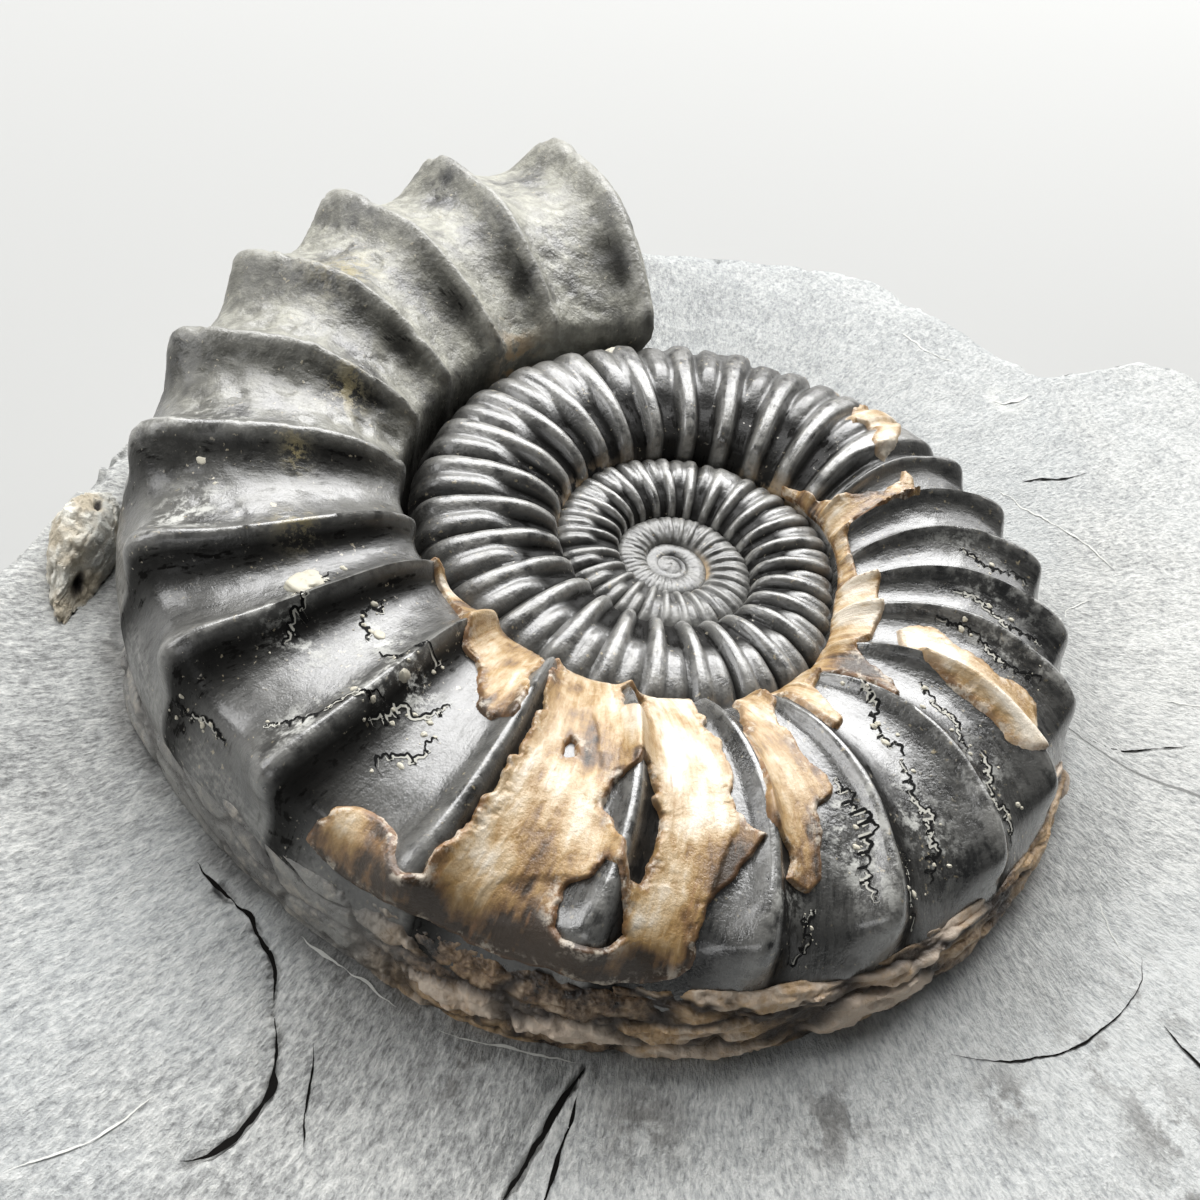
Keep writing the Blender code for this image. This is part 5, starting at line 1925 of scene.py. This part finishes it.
class Paint:
    """A material being put together from nodes."""

    def __init__(self, name: str) -> None:
        """Starts a material with one Principled shader.

        Args:
            name: the material's name.
        """
        self.material = bpy.data.materials.new(name)
        self.material.use_nodes = True
        self.tree = self.material.node_tree
        self.shader = self.tree.nodes["Principled BSDF"]
        self.object_place = self.node("ShaderNodeTexCoord").outputs["Object"]

    def node(
        self,
        kind: str,
        settings: Mapping[str, object] | None = None,
        sockets: Mapping[str | int, object] | None = None,
    ) -> bpy.types.Node:
        """Adds a node.

        Args:
            kind: the node's type.
            settings: its properties, set first. "stops" holds a ramp's places and colours.
            sockets: values or links for its inputs.

        Returns:
            The node.
        """
        made = self.tree.nodes.new(kind)
        for key, value in (settings or {}).items():
            if key == "stops":
                self._set_stops(made.color_ramp, value)
            else:
                setattr(made, key, value)
        for key, value in (sockets or {}).items():
            self.feed(made.inputs[key], value)
        return made

    @staticmethod
    def _set_stops(ramp: bpy.types.ColorRamp, stops: Sequence[tuple[float, Colour]]) -> None:
        """Puts a ramp's stops at their places.

        Args:
            ramp: the ramp.
            stops: places and colours in rising order.
        """
        while len(ramp.elements) > 1:
            ramp.elements.remove(ramp.elements[-1])
        ramp.elements[0].position, ramp.elements[0].color = stops[0][0], (*stops[0][1], 1.0)
        for place, colour in stops[1:]:
            ramp.elements.new(place).color = (*colour, 1.0)

    def feed(self, target: Socket, value: object) -> None:
        """Gives an input a number, a colour, a vector or a link.

        Args:
            target: the input.
            value: what it takes.
        """
        if isinstance(value, Wire):
            value = value.socket
        if isinstance(value, bpy.types.NodeSocket):
            self.tree.links.new(value, target)
        elif isinstance(value, tuple) and target.type == "RGBA" and len(value) == 3:
            target.default_value = (*value, 1.0)
        else:
            target.default_value = value

    def mark(self, name: str) -> Wire:
        """Reads a number stored in the mesh."""
        return Wire(self, self.node("ShaderNodeAttribute", {"attribute_name": name}).outputs["Fac"])

    def noise(
        self, scale: float, detail: float = 4.0, roughness: float = 0.55, place: Socket | None = None
    ) -> Wire:
        """Makes soft random values.

        Args:
            scale: how many lumps there are in a unit.
            detail: how many finer reliefs are added.
            roughness: strength of the finer reliefs.
            place: where it is read, or nothing for the object's own coordinates.

        Returns:
            Values around 0.5.
        """
        place = place or self.object_place
        sockets = {"Vector": place, "Scale": scale, "Detail": detail, "Roughness": roughness}
        return Wire(self, self.node("ShaderNodeTexNoise", None, sockets).outputs["Fac"])

    def streaks(self, vector: str, stretch: Triple, detail: float = 4.0, roughness: float = 0.55) -> Wire:
        """Makes soft random values that are drawn out along the surface.

        Args:
            vector: name of the vector stored in the mesh.
            stretch: how many lumps there are in a unit of each of its parts.
            detail: how many finer reliefs are added.
            roughness: strength of the finer reliefs.

        Returns:
            Values around 0.5.
        """
        stored = self.node("ShaderNodeAttribute", {"attribute_name": vector}).outputs["Vector"]
        scaled = self.node("ShaderNodeVectorMath", {"operation": "MULTIPLY"}, {0: stored, 1: stretch})
        return self.noise(1.0, detail, roughness, scaled.outputs[0])

    def cells(self, scale: float) -> Wire:
        """Gives the distance to the nearest of many random points."""
        sockets = {"Vector": self.object_place, "Scale": scale}
        return Wire(self, self.node("ShaderNodeTexVoronoi", None, sockets).outputs["Distance"])

    def layered(self, colour: object, *layers: tuple[Wire | float, object]) -> Socket:
        """Lays colours over one another.

        Args:
            colour: the lowest colour.
            layers: how much each layer hides and its colour, from the lowest to the topmost.

        Returns:
            The mixed colour.
        """
        settings = {"data_type": "RGBA", "blend_type": "MIX", "clamp_factor": True}
        for share, layer in layers:
            colour = self.node("ShaderNodeMix", settings, {0: share, 6: colour, 7: layer}).outputs[2]
        return colour

    def ramp(self, value: Wire, stops: Sequence[tuple[float, Colour]]) -> Socket:
        """Maps a value to colours."""
        return self.node("ShaderNodeValToRGB", {"stops": stops}, {"Fac": value}).outputs["Color"]

    def finish(
        self,
        colour: object,
        roughness: Wire | float,
        bump: Wire | None = None,
        bump_mm: float = 0.05,
        painted_shade_and_streaks: Wire | None = None,
        **constants: float,
    ) -> Material:
        """Connects the shader.

        Args:
            colour: base colour.
            roughness: surface roughness.
            bump: height from 0 to 1.
            bump_mm: height of the relief that it stands for.
            painted_shade_and_streaks: how much a matt black layer hides of it, to paint shade and dark
                streaks.
            constants: other shader inputs, with _ for spaces.

        Returns:
            The material.
        """
        self.feed(self.shader.inputs["Base Color"], colour)
        self.feed(self.shader.inputs["Roughness"], roughness)
        for key, value in constants.items():
            self.feed(self.shader.inputs[key.replace("_", " ")], value)
        if bump is not None:
            sockets = {"Strength": 1.0, "Distance": bump_mm * MM, "Height": bump}
            relief = self.node("ShaderNodeBump", None, sockets)
            self.feed(self.shader.inputs["Normal"], relief.outputs["Normal"])
        if painted_shade_and_streaks is not None:
            # Matt black layer that paints shade and dark streaks where the factor is high
            sockets = {"Base Color": (0.005, 0.0046, 0.004), "Roughness": 0.85, "Specular IOR Level": 0.12}
            matt = self.node("ShaderNodeBsdfPrincipled", None, sockets).outputs["BSDF"]
            sockets = {0: painted_shade_and_streaks, 1: self.shader.outputs["BSDF"], 2: matt}
            mixed = self.node("ShaderNodeMixShader", None, sockets)
            self.feed(self.tree.nodes["Material Output"].inputs["Surface"], mixed.outputs["Shader"])
        return self.material


@dataclass(frozen=True)
class Wire:
    """A number in a material that arithmetic can be written with.

    Attributes:
        paint: the material it belongs to.
        socket: the output that carries it.
    """

    paint: Paint
    socket: Socket

    def _math(self, kind: Sum, first: Wire | float, second: Wire | float, clamp: bool = False) -> Wire:
        """Adds a Math node."""
        settings = {"operation": kind.value, "use_clamp": clamp}
        return Wire(self.paint, self.paint.node("ShaderNodeMath", settings, {0: first, 1: second}).outputs[0])

    def __add__(self, other: Wire | float) -> Wire:
        """Adds."""
        return self._math(Sum.ADD, self, other)

    __radd__ = __add__

    def __sub__(self, other: Wire | float) -> Wire:
        """Takes away."""
        return self._math(Sum.SUBTRACT, self, other)

    def __rsub__(self, other: float) -> Wire:
        """Is taken away from a number."""
        return self._math(Sum.SUBTRACT, other, self)

    def __mul__(self, other: Wire | float) -> Wire:
        """Multiplies."""
        return self._math(Sum.MULTIPLY, self, other)

    def clamped(self) -> Wire:
        """Keeps the value from 0 to 1."""
        return self._math(Sum.ADD, self, 0.0, clamp=True)

    def above(self, low: float, high: float) -> Wire:
        """Makes a smooth ramp from low to high. With low over high it falls.

        Args:
            low: value at which the ramp is 0.
            high: value at which it is 1.

        Returns:
            The ramp.
        """
        start, end, first, last = (low, high, 0.0, 1.0) if low < high else (high, low, 1.0, 0.0)
        sockets = {"Value": self, "From Min": start, "From Max": end, "To Min": first, "To Max": last}
        node = self.paint.node("ShaderNodeMapRange", {"interpolation_type": "SMOOTHSTEP"}, sockets)
        return Wire(self.paint, node.outputs["Result"])


@dataclass(frozen=True)
class MouldFinish:
    """Dark polished stone with a satin sheen, dusty on the body chamber, with shade painted into furrows and
    hollows.
    """

    black: Colour = (0.013, 0.0126, 0.0118)
    grey: Colour = (0.145, 0.142, 0.130)
    worn: Colour = (0.27, 0.265, 0.245)
    dust: Colour = (0.25, 0.243, 0.20)
    dust_pale: Colour = (0.43, 0.42, 0.35)
    powder: Colour = (0.66, 0.66, 0.61)
    olive: Colour = (0.25, 0.20, 0.075)
    tan: Colour = (0.50, 0.35, 0.19)
    gold_dust: Colour = (0.42, 0.35, 0.22)
    roughness: float = 0.36

    def make(self) -> Material:
        """Builds the material.

        Returns:
            The material.
        """
        paint = Paint("mould_stone_finish")
        grain = paint.noise(900.0, 6.0, 0.6)
        patches = paint.noise(190.0, 6.0, 0.66)
        fine = paint.noise(2600.0, 3.0)
        sand = paint.noise(6200.0, 2.0)
        flakes = paint.noise(900.0, 6.0, 0.75)
        streaks = paint.streaks("flow", (3.6, 0.55, 1.0), 4.0, 0.65)
        scratches = paint.streaks("flow", (0.10, 5.0, 5.0), 3.0).above(0.52, 0.70)
        dust, gloss, nucleus = (paint.mark(name) for name in ("dust", "gloss", "nucleus"))
        film = (dust * patches.above(0.30, 0.56) + dust * grain.above(0.5, 0.8) * 0.4).clamped()
        mottle = (patches - 0.5) * 1.4 + (grain - 0.5) * 0.5 + (streaks - 0.5) * 1.0 - gloss * 0.16
        tan = paint.mark("tan") * paint.noise(700.0, 5.0).above(0.40, 0.54)
        olive = paint.mark("olive") * flakes.above(0.46, 0.54)
        venter = paint.mark("venter") * (scratches * 0.5 + fine.above(0.42, 0.6) * 0.45)
        speck = fine.above(0.64, 0.71) * paint.noise(240.0, 3.0).above(0.42, 0.58)
        powder = paint.mark("powder") * flakes.above(0.48, 0.61)
        colour = paint.layered(
            self.black,
            ((mottle + 0.40).clamped(), self.grey),
            (film * 0.85, paint.layered(self.dust, (grain.above(0.40, 0.64), self.dust_pale))),
            (paint.mark("crest") * grain.above(0.36, 0.58) * 0.6, self.worn),
            (nucleus * grain.above(0.35, 0.65) * 0.5, self.worn),
            (tan.clamped(), self.tan),
            (olive.clamped() * 0.85, self.olive),
            (venter, self.worn),
            (speck * 0.6, self.gold_dust),
            ((powder * 0.85).clamped(), self.powder),
        )
        rough = self.roughness + film * 0.18 + powder * 0.4 + (grain - 0.5) * 0.35 + (streaks - 0.5) * 0.35
        rough = rough + nucleus * 0.12 - gloss * 0.08
        bump = grain * (dust * 0.5 + 0.26) + fine * (0.14 + dust * 0.3) + sand * 0.10 + streaks * 0.12
        bump = bump + paint.cells(700.0).above(0.0, 0.35) * dust * 0.2
        coat = (0.52 - dust * 0.38 - nucleus * 0.25 + gloss * 0.3).clamped()
        gaps = (streaks * 0.5 + grain * 0.5).above(0.52, 0.66) * (0.42 - nucleus * 0.25 - dust * 0.22)
        # Painted shade from the mesh plus dark streaks, kept off powder, tan, olive and specks
        painted_shade_and_streaks = paint.mark("shade") * 0.9 + gaps - powder * 0.8 - tan * 0.8 - olive * 0.8 - speck * 0.8
        constants = {"Specular_IOR_Level": 0.95, "Coat_Roughness": 0.14, "Coat_Weight": coat}
        return paint.finish(colour, rough.clamped(), bump, 0.24, painted_shade_and_streaks.clamped(), **constants)


@dataclass(frozen=True)
class ShellFinish:
    """Golden brown shell, pale and pearly where its outer layer is left, with rusty rims."""

    dark: Colour = (0.040, 0.024, 0.012)
    brown: Colour = (0.17, 0.095, 0.040)
    gold: Colour = (0.36, 0.225, 0.090)
    tan: Colour = (0.53, 0.40, 0.245)
    cream: Colour = (0.72, 0.64, 0.52)
    rust: Colour = (0.26, 0.13, 0.055)
    roughness: float = 0.34

    def make(self) -> Material:
        """Builds the material.

        Returns:
            The material.
        """
        paint = Paint("brown_shell_finish")
        fibres = paint.streaks("flow", (1.6, 0.30, 1.0), 5.0, 0.6)
        broad = paint.streaks("flow", (0.42, 0.20, 1.0), 4.0, 0.6)
        veins = paint.streaks("flow", (2.4, 0.5, 1.0), 3.0).above(0.60, 0.72)
        grain = paint.noise(1100.0, 6.0, 0.68)
        blotch = paint.noise(300.0, 4.0, 0.6)
        outer, rim = paint.mark("outer"), paint.mark("rim")
        tone = paint.mark("pale") * 0.72 + outer * 0.12 + (fibres - 0.5) * 0.9 + (broad - 0.5) * 1.4
        tone = tone - rim.above(1.3, 0.2) * 0.13 + (grain - 0.5) * 0.45 + (blotch - 0.5) * 0.6 + 0.04
        stops = (0.0, 0.16, 0.36, 0.56, 0.80)
        colours = (self.dark, self.brown, self.gold, self.tan, self.cream)
        colour = paint.layered(
            paint.ramp(tone.clamped(), tuple(zip(stops, colours))),
            (rim.above(0.55, 0.0) * paint.noise(420.0, 3.0).above(0.34, 0.62) * 0.65, self.rust),
            (rim.above(1.2, 0.1) * paint.noise(900.0, 4.0, 0.7).above(0.50, 0.62) * 0.6, self.cream),
            (veins * 0.5, self.rust),
        )
        rough = self.roughness + (grain - 0.5) * 0.4 + (1.0 - outer) * 0.10
        bump = fibres * 0.45 + grain * 0.6 + blotch * 0.15 + outer * 0.3
        constants = {"Specular_IOR_Level": 0.6, "Coat_Weight": 0.18, "Coat_Roughness": 0.22}
        return paint.finish(colour, rough.clamped(), bump, 0.26, **constants)


@dataclass(frozen=True)
class StoneFinish:
    """Pale grey stone with a felted, brushed grain that points away from the fossil."""

    pale: Colour = (0.58, 0.58, 0.555)
    middle: Colour = (0.36, 0.365, 0.355)
    dark: Colour = (0.17, 0.172, 0.168)
    blue: Colour = (0.34, 0.37, 0.39)
    white: Colour = (0.66, 0.66, 0.62)
    # Dark brown of stains, also used for the shade painted along the foot of the mould
    stain: Colour = (0.045, 0.038, 0.03)
    brown: Colour = (0.03, 0.022, 0.016)
    roughness: float = 0.72

    def make(self) -> Material:
        """Builds the material.

        Returns:
            The material.
        """
        paint = Paint("slate_grey_stone_finish")
        brushed = paint.streaks("streak", (2.6, 0.9, 0.9), 5.0, 0.66)
        felt = paint.streaks("streak", (4.2, 2.2, 2.2), 4.0, 0.7)
        clouds = paint.noise(55.0, 5.0, 0.6)
        tints = paint.noise(26.0, 3.0)
        grain = paint.noise(1900.0, 4.0, 0.75)
        tone = clouds * 0.45 + brushed * 0.78 + felt * 0.78 + grain * 0.35 - 0.70
        # Painted light, lighter towards +X
        tone = tone + paint.mark("bleached") * 0.12
        ramp = paint.ramp(tone, ((0.28, self.dark), (0.47, self.middle), (0.68, self.pale)))
        specks = grain.above(0.66, 0.74) * paint.noise(260.0, 2.0).above(0.44, 0.60)
        chip = paint.mark("chip") * paint.noise(420.0, 4.0).above(0.40, 0.52)
        # Painted shade on the stone next to the mould
        shade = paint.mark("venter_gap").above(2.4, 0.2) * paint.noise(260.0, 4.0).above(0.30, 0.62)
        stain = paint.mark("stain") * paint.noise(330.0, 5.0, 0.7).above(0.46, 0.60)
        colour = paint.layered(
            ramp,
            (tints.above(0.44, 0.62) * 0.55, paint.layered(ramp, (0.5, self.blue))),
            (specks * 0.5, self.white),
            (chip.clamped() * 0.8, self.white),
            # Painted shade next to the mould, on the top only
            (shade * 0.5 * paint.mark("top"), self.stain),
            (stain.clamped() * 0.65, self.stain),
            (paint.mark("crack") * 0.8, self.brown),
        )
        bump = brushed * 0.30 + felt * 0.40 + grain * 0.25 + clouds * 0.2
        return paint.finish(colour, self.roughness, bump, 0.42, Specular_IOR_Level=0.45)


@dataclass(frozen=True)
class CrustFinish:
    """Golden and grey-brown lumps with dusty tops and painted shade in the gaps, grey where the crust is
    thin.
    """

    dark: Colour = (0.018, 0.012, 0.008)
    brown: Colour = (0.19, 0.118, 0.062)
    gold: Colour = (0.50, 0.33, 0.17)
    pink: Colour = (0.66, 0.53, 0.41)
    slate: Colour = (0.17, 0.166, 0.157)
    slate_pale: Colour = (0.36, 0.355, 0.33)
    dust: Colour = (0.64, 0.56, 0.45)
    roughness: float = 0.33

    def make(self) -> Material:
        """Builds the material.

        Returns:
            The material.
        """
        paint = Paint("brown_crust_finish")
        grain = paint.noise(1000.0, 6.0, 0.72)
        patches = paint.noise(280.0, 4.0)
        brown = paint.mark("brown")
        tone = paint.mark("tone") * 0.8 + (grain - 0.5) * 1.1 + (patches - 0.5) * 1.2 + 0.20
        stops = ((0.04, self.dark), (0.26, self.brown), (0.56, self.gold), (0.90, self.pink))
        mottle = (patches.above(0.35, 0.65) * 0.7 + (grain - 0.5)).clamped()
        colour = paint.layered(
            self.slate,
            (mottle, self.slate_pale),
            (brown, paint.ramp(tone.clamped(), stops)),
            (paint.mark("rise") * grain.above(0.46, 0.64) * 0.45, self.dust),
            # Painted shade in the gaps between lumps
            (paint.mark("gap") * (brown * 0.45 + 0.5), self.dark),
        )
        rough = (self.roughness + (grain - 0.5) * 0.5).clamped()
        return paint.finish(colour, rough, grain * 0.7 + patches * 0.5, 0.35, Specular_IOR_Level=0.7)


@dataclass(frozen=True)
class FragmentFinish:
    """Tan and cream granular shell, grey on the side next to the mould, with shade painted into its hollows.
    """

    tan: Colour = (0.46, 0.40, 0.30)
    cream: Colour = (0.76, 0.74, 0.66)
    grey: Colour = (0.36, 0.365, 0.345)
    # Colour of the painted shade in the hollows
    dark: Colour = (0.02, 0.015, 0.012)
    roughness: float = 0.72

    def make(self) -> Material:
        """Builds the material.

        Returns:
            The material.
        """
        paint = Paint("pale_shell_finish")
        grain = paint.noise(1400.0, 5.0, 0.7)
        patches = paint.noise(420.0, 4.0)
        colour = paint.layered(
            self.tan,
            ((patches.above(0.38, 0.64) + (grain - 0.5) * 0.8).clamped(), self.cream),
            (paint.mark("upper") * patches.above(0.35, 0.55) * 0.7, self.grey),
            (paint.mark("gap") * 0.35, self.tan),
            # Painted shade in the hollows
            (paint.mark("dark"), self.dark),
        )
        return paint.finish(colour, self.roughness, grain + patches * 0.6, 0.5, Specular_IOR_Level=0.4)


@dataclass(frozen=True)
class PlainFinish:
    """One plain colour.

    Attributes:
        name: the material's name.
        colour: base colour.
        roughness: surface roughness.
        specular: how much it reflects.
    """

    name: str
    colour: Colour
    roughness: float
    specular: float = 0.5

    def make(self) -> Material:
        """Builds the material."""
        return Paint(self.name).finish(self.colour, self.roughness, Specular_IOR_Level=self.specular)


@dataclass(frozen=True)
class Lamp:
    """A soft rectangular light that looks at the fossil.

    Attributes:
        name: the light's name.
        azimuth: compass from the fossil, anticlockwise from +X.
        elevation: degrees above the floor.
        distance: metres from the middle of the frame.
        size: width and height.
        power: watts.
    """

    name: str
    azimuth: float
    elevation: float
    distance: float
    size: Pair
    power: float

    def build(self) -> None:
        """Makes the light."""
        data = bpy.data.lights.new(self.name, "AREA")
        data.shape = "RECTANGLE"
        data.size, data.size_y = self.size
        data.energy = self.power
        lamp = bpy.data.objects.new(self.name, data)
        bpy.context.scene.collection.objects.link(lamp)
        compass, rise = math.radians(self.azimuth), math.radians(self.elevation)
        way = Vector((math.cos(compass) * math.cos(rise), math.sin(compass) * math.cos(rise), math.sin(rise)))
        lamp.location = way * self.distance
        lamp.rotation_euler = way.to_track_quat("Z", "Y").to_euler()


@dataclass(frozen=True)
class Studio:
    """Plain pale floor, soft lights, dim surroundings and the camera."""

    floor_size: float = 8.0
    surroundings: Colour = (0.9, 0.95, 1.0)
    surroundings_strength: float = 0.085
    lens: float = 39.0
    camera_place: Triple = (-0.007878, -0.066946, 0.089403)
    camera_turn: Triple = (43.60727, -11.18692, 15.00091)
    lamps: tuple[Lamp, ...] = (
        Lamp("key_light", 110.0, 50.0, 0.80, (0.90, 0.64), 15.5),
        Lamp("rim_light", 70.0, 30.0, 0.80, (0.60, 0.40), 2.0),
        Lamp("fill_light", 194.0, 28.0, 1.0, (0.60, 0.40), 4.0),
        Lamp("front_light", 262.0, 22.0, 1.0, (0.50, 0.25), 1.0),
    )

    def build(self) -> None:
        """Makes everything around the fossil."""
        half = self.floor_size / 2
        square = [(-half, -half, 0.0), (half, -half, 0.0), (half, half, 0.0), (-half, half, 0.0)]
        mesh = bpy.data.meshes.new("floor")
        mesh.from_pydata(square, [], [(0, 1, 2, 3)])
        mesh.materials.append(PlainFinish("floor_finish", (0.36, 0.36, 0.352), 0.85).make())
        floor = bpy.data.objects.new("floor", mesh)
        bpy.context.scene.collection.objects.link(floor)
        for lamp in self.lamps:
            lamp.build()
        world = bpy.data.worlds.new("surroundings")
        world.use_nodes = True
        background = world.node_tree.nodes["Background"]
        background.inputs["Color"].default_value = (*self.surroundings, 1.0)
        background.inputs["Strength"].default_value = self.surroundings_strength
        bpy.context.scene.world = world
        data = bpy.data.cameras.new("camera")
        data.lens = self.lens
        data.sensor_width = 36.0
        data.clip_start = 0.001
        camera = bpy.data.objects.new("camera", data)
        bpy.context.scene.collection.objects.link(camera)
        camera.location = self.camera_place
        camera.rotation_euler = tuple(math.radians(turn) for turn in self.camera_turn)
        bpy.context.scene.camera = camera
        bpy.context.scene.view_settings.view_transform = "Standard"


class Fossil:
    """All the pieces of the fossil."""

    def __init__(self) -> None:
        """Makes the finishes."""
        self.mould_finish = MouldFinish().make()
        self.shell_finish = ShellFinish().make()
        self.stone_finish = StoneFinish().make()
        self.crust_finish = CrustFinish().make()
        self.fragment_finish = FragmentFinish().make()
        self.groove_finish = PlainFinish("suture_groove_finish", (0.004, 0.004, 0.004), 0.8, 0.15).make()
        self.thread_finish = PlainFinish("suture_thread_finish", (0.44, 0.43, 0.38), 0.6).make()
        self.calcite_finish = PlainFinish("calcite_finish", (0.50, 0.47, 0.38), 0.55).make()
        self.scratch_finish = PlainFinish("scratch_finish", (0.62, 0.62, 0.58), 0.8).make()
        self.crack_finish = PlainFinish("crack_finish", (0.005, 0.0045, 0.004), 0.9, 0.08).make()

    @staticmethod
    def place(piece: Piece, slot: str, *nodes: str) -> None:
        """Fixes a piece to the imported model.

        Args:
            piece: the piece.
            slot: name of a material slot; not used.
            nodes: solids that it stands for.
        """
        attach(piece, "root")
        if nodes:
            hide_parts(*nodes)

    def build(self) -> None:
        """Makes every piece."""
        mould, stone = Mould(), Stone()
        self.place(mould.build(self.mould_finish), "mould_stone", "ammonite")
        self.place(stone.build(self.stone_finish), "slate_grey_stone", "matrix")
        sutures, marks = Sutures(), StoneMarks(stone)
        self.place(sutures.build(mould, "suture_grooves", self.groove_finish, 0.0), "mould_stone")
        self.place(sutures.build(mould, "suture_threads", self.thread_finish, 0.16), "mould_stone")
        self.place(Flecks().build(self.calcite_finish), "pale_shell")
        self.place(marks.build("stone_cracks", OPEN_CRACKS, self.crack_finish), "slate_grey_stone")
        self.place(marks.build("stone_scratches", SCRATCHES, self.scratch_finish), "slate_grey_stone")
        self.place(Crust().build(self.crust_finish, stone), "brown_crust", "rim_crust")
        self.place(Fragment().build(self.fragment_finish, stone), "pale_shell", "shell_fragment")
        shell = ShellWork()
        for remnant in REMNANTS:
            shell.build(remnant, self.shell_finish)


def corners(bounds: tuple[Vector, Vector]) -> list[list[float]]:
    """Writes a box as plain lists."""
    return [list(corner) for corner in bounds]


def main() -> None:
    """Clears the scene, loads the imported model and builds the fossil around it."""
    logging.basicConfig(level=logging.INFO, format="%(message)s")
    for left_over in list(bpy.data.objects):
        bpy.data.objects.remove(left_over)
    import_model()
    Studio().build()
    Fossil().build()
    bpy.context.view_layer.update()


if __name__ == "__main__":
    main()
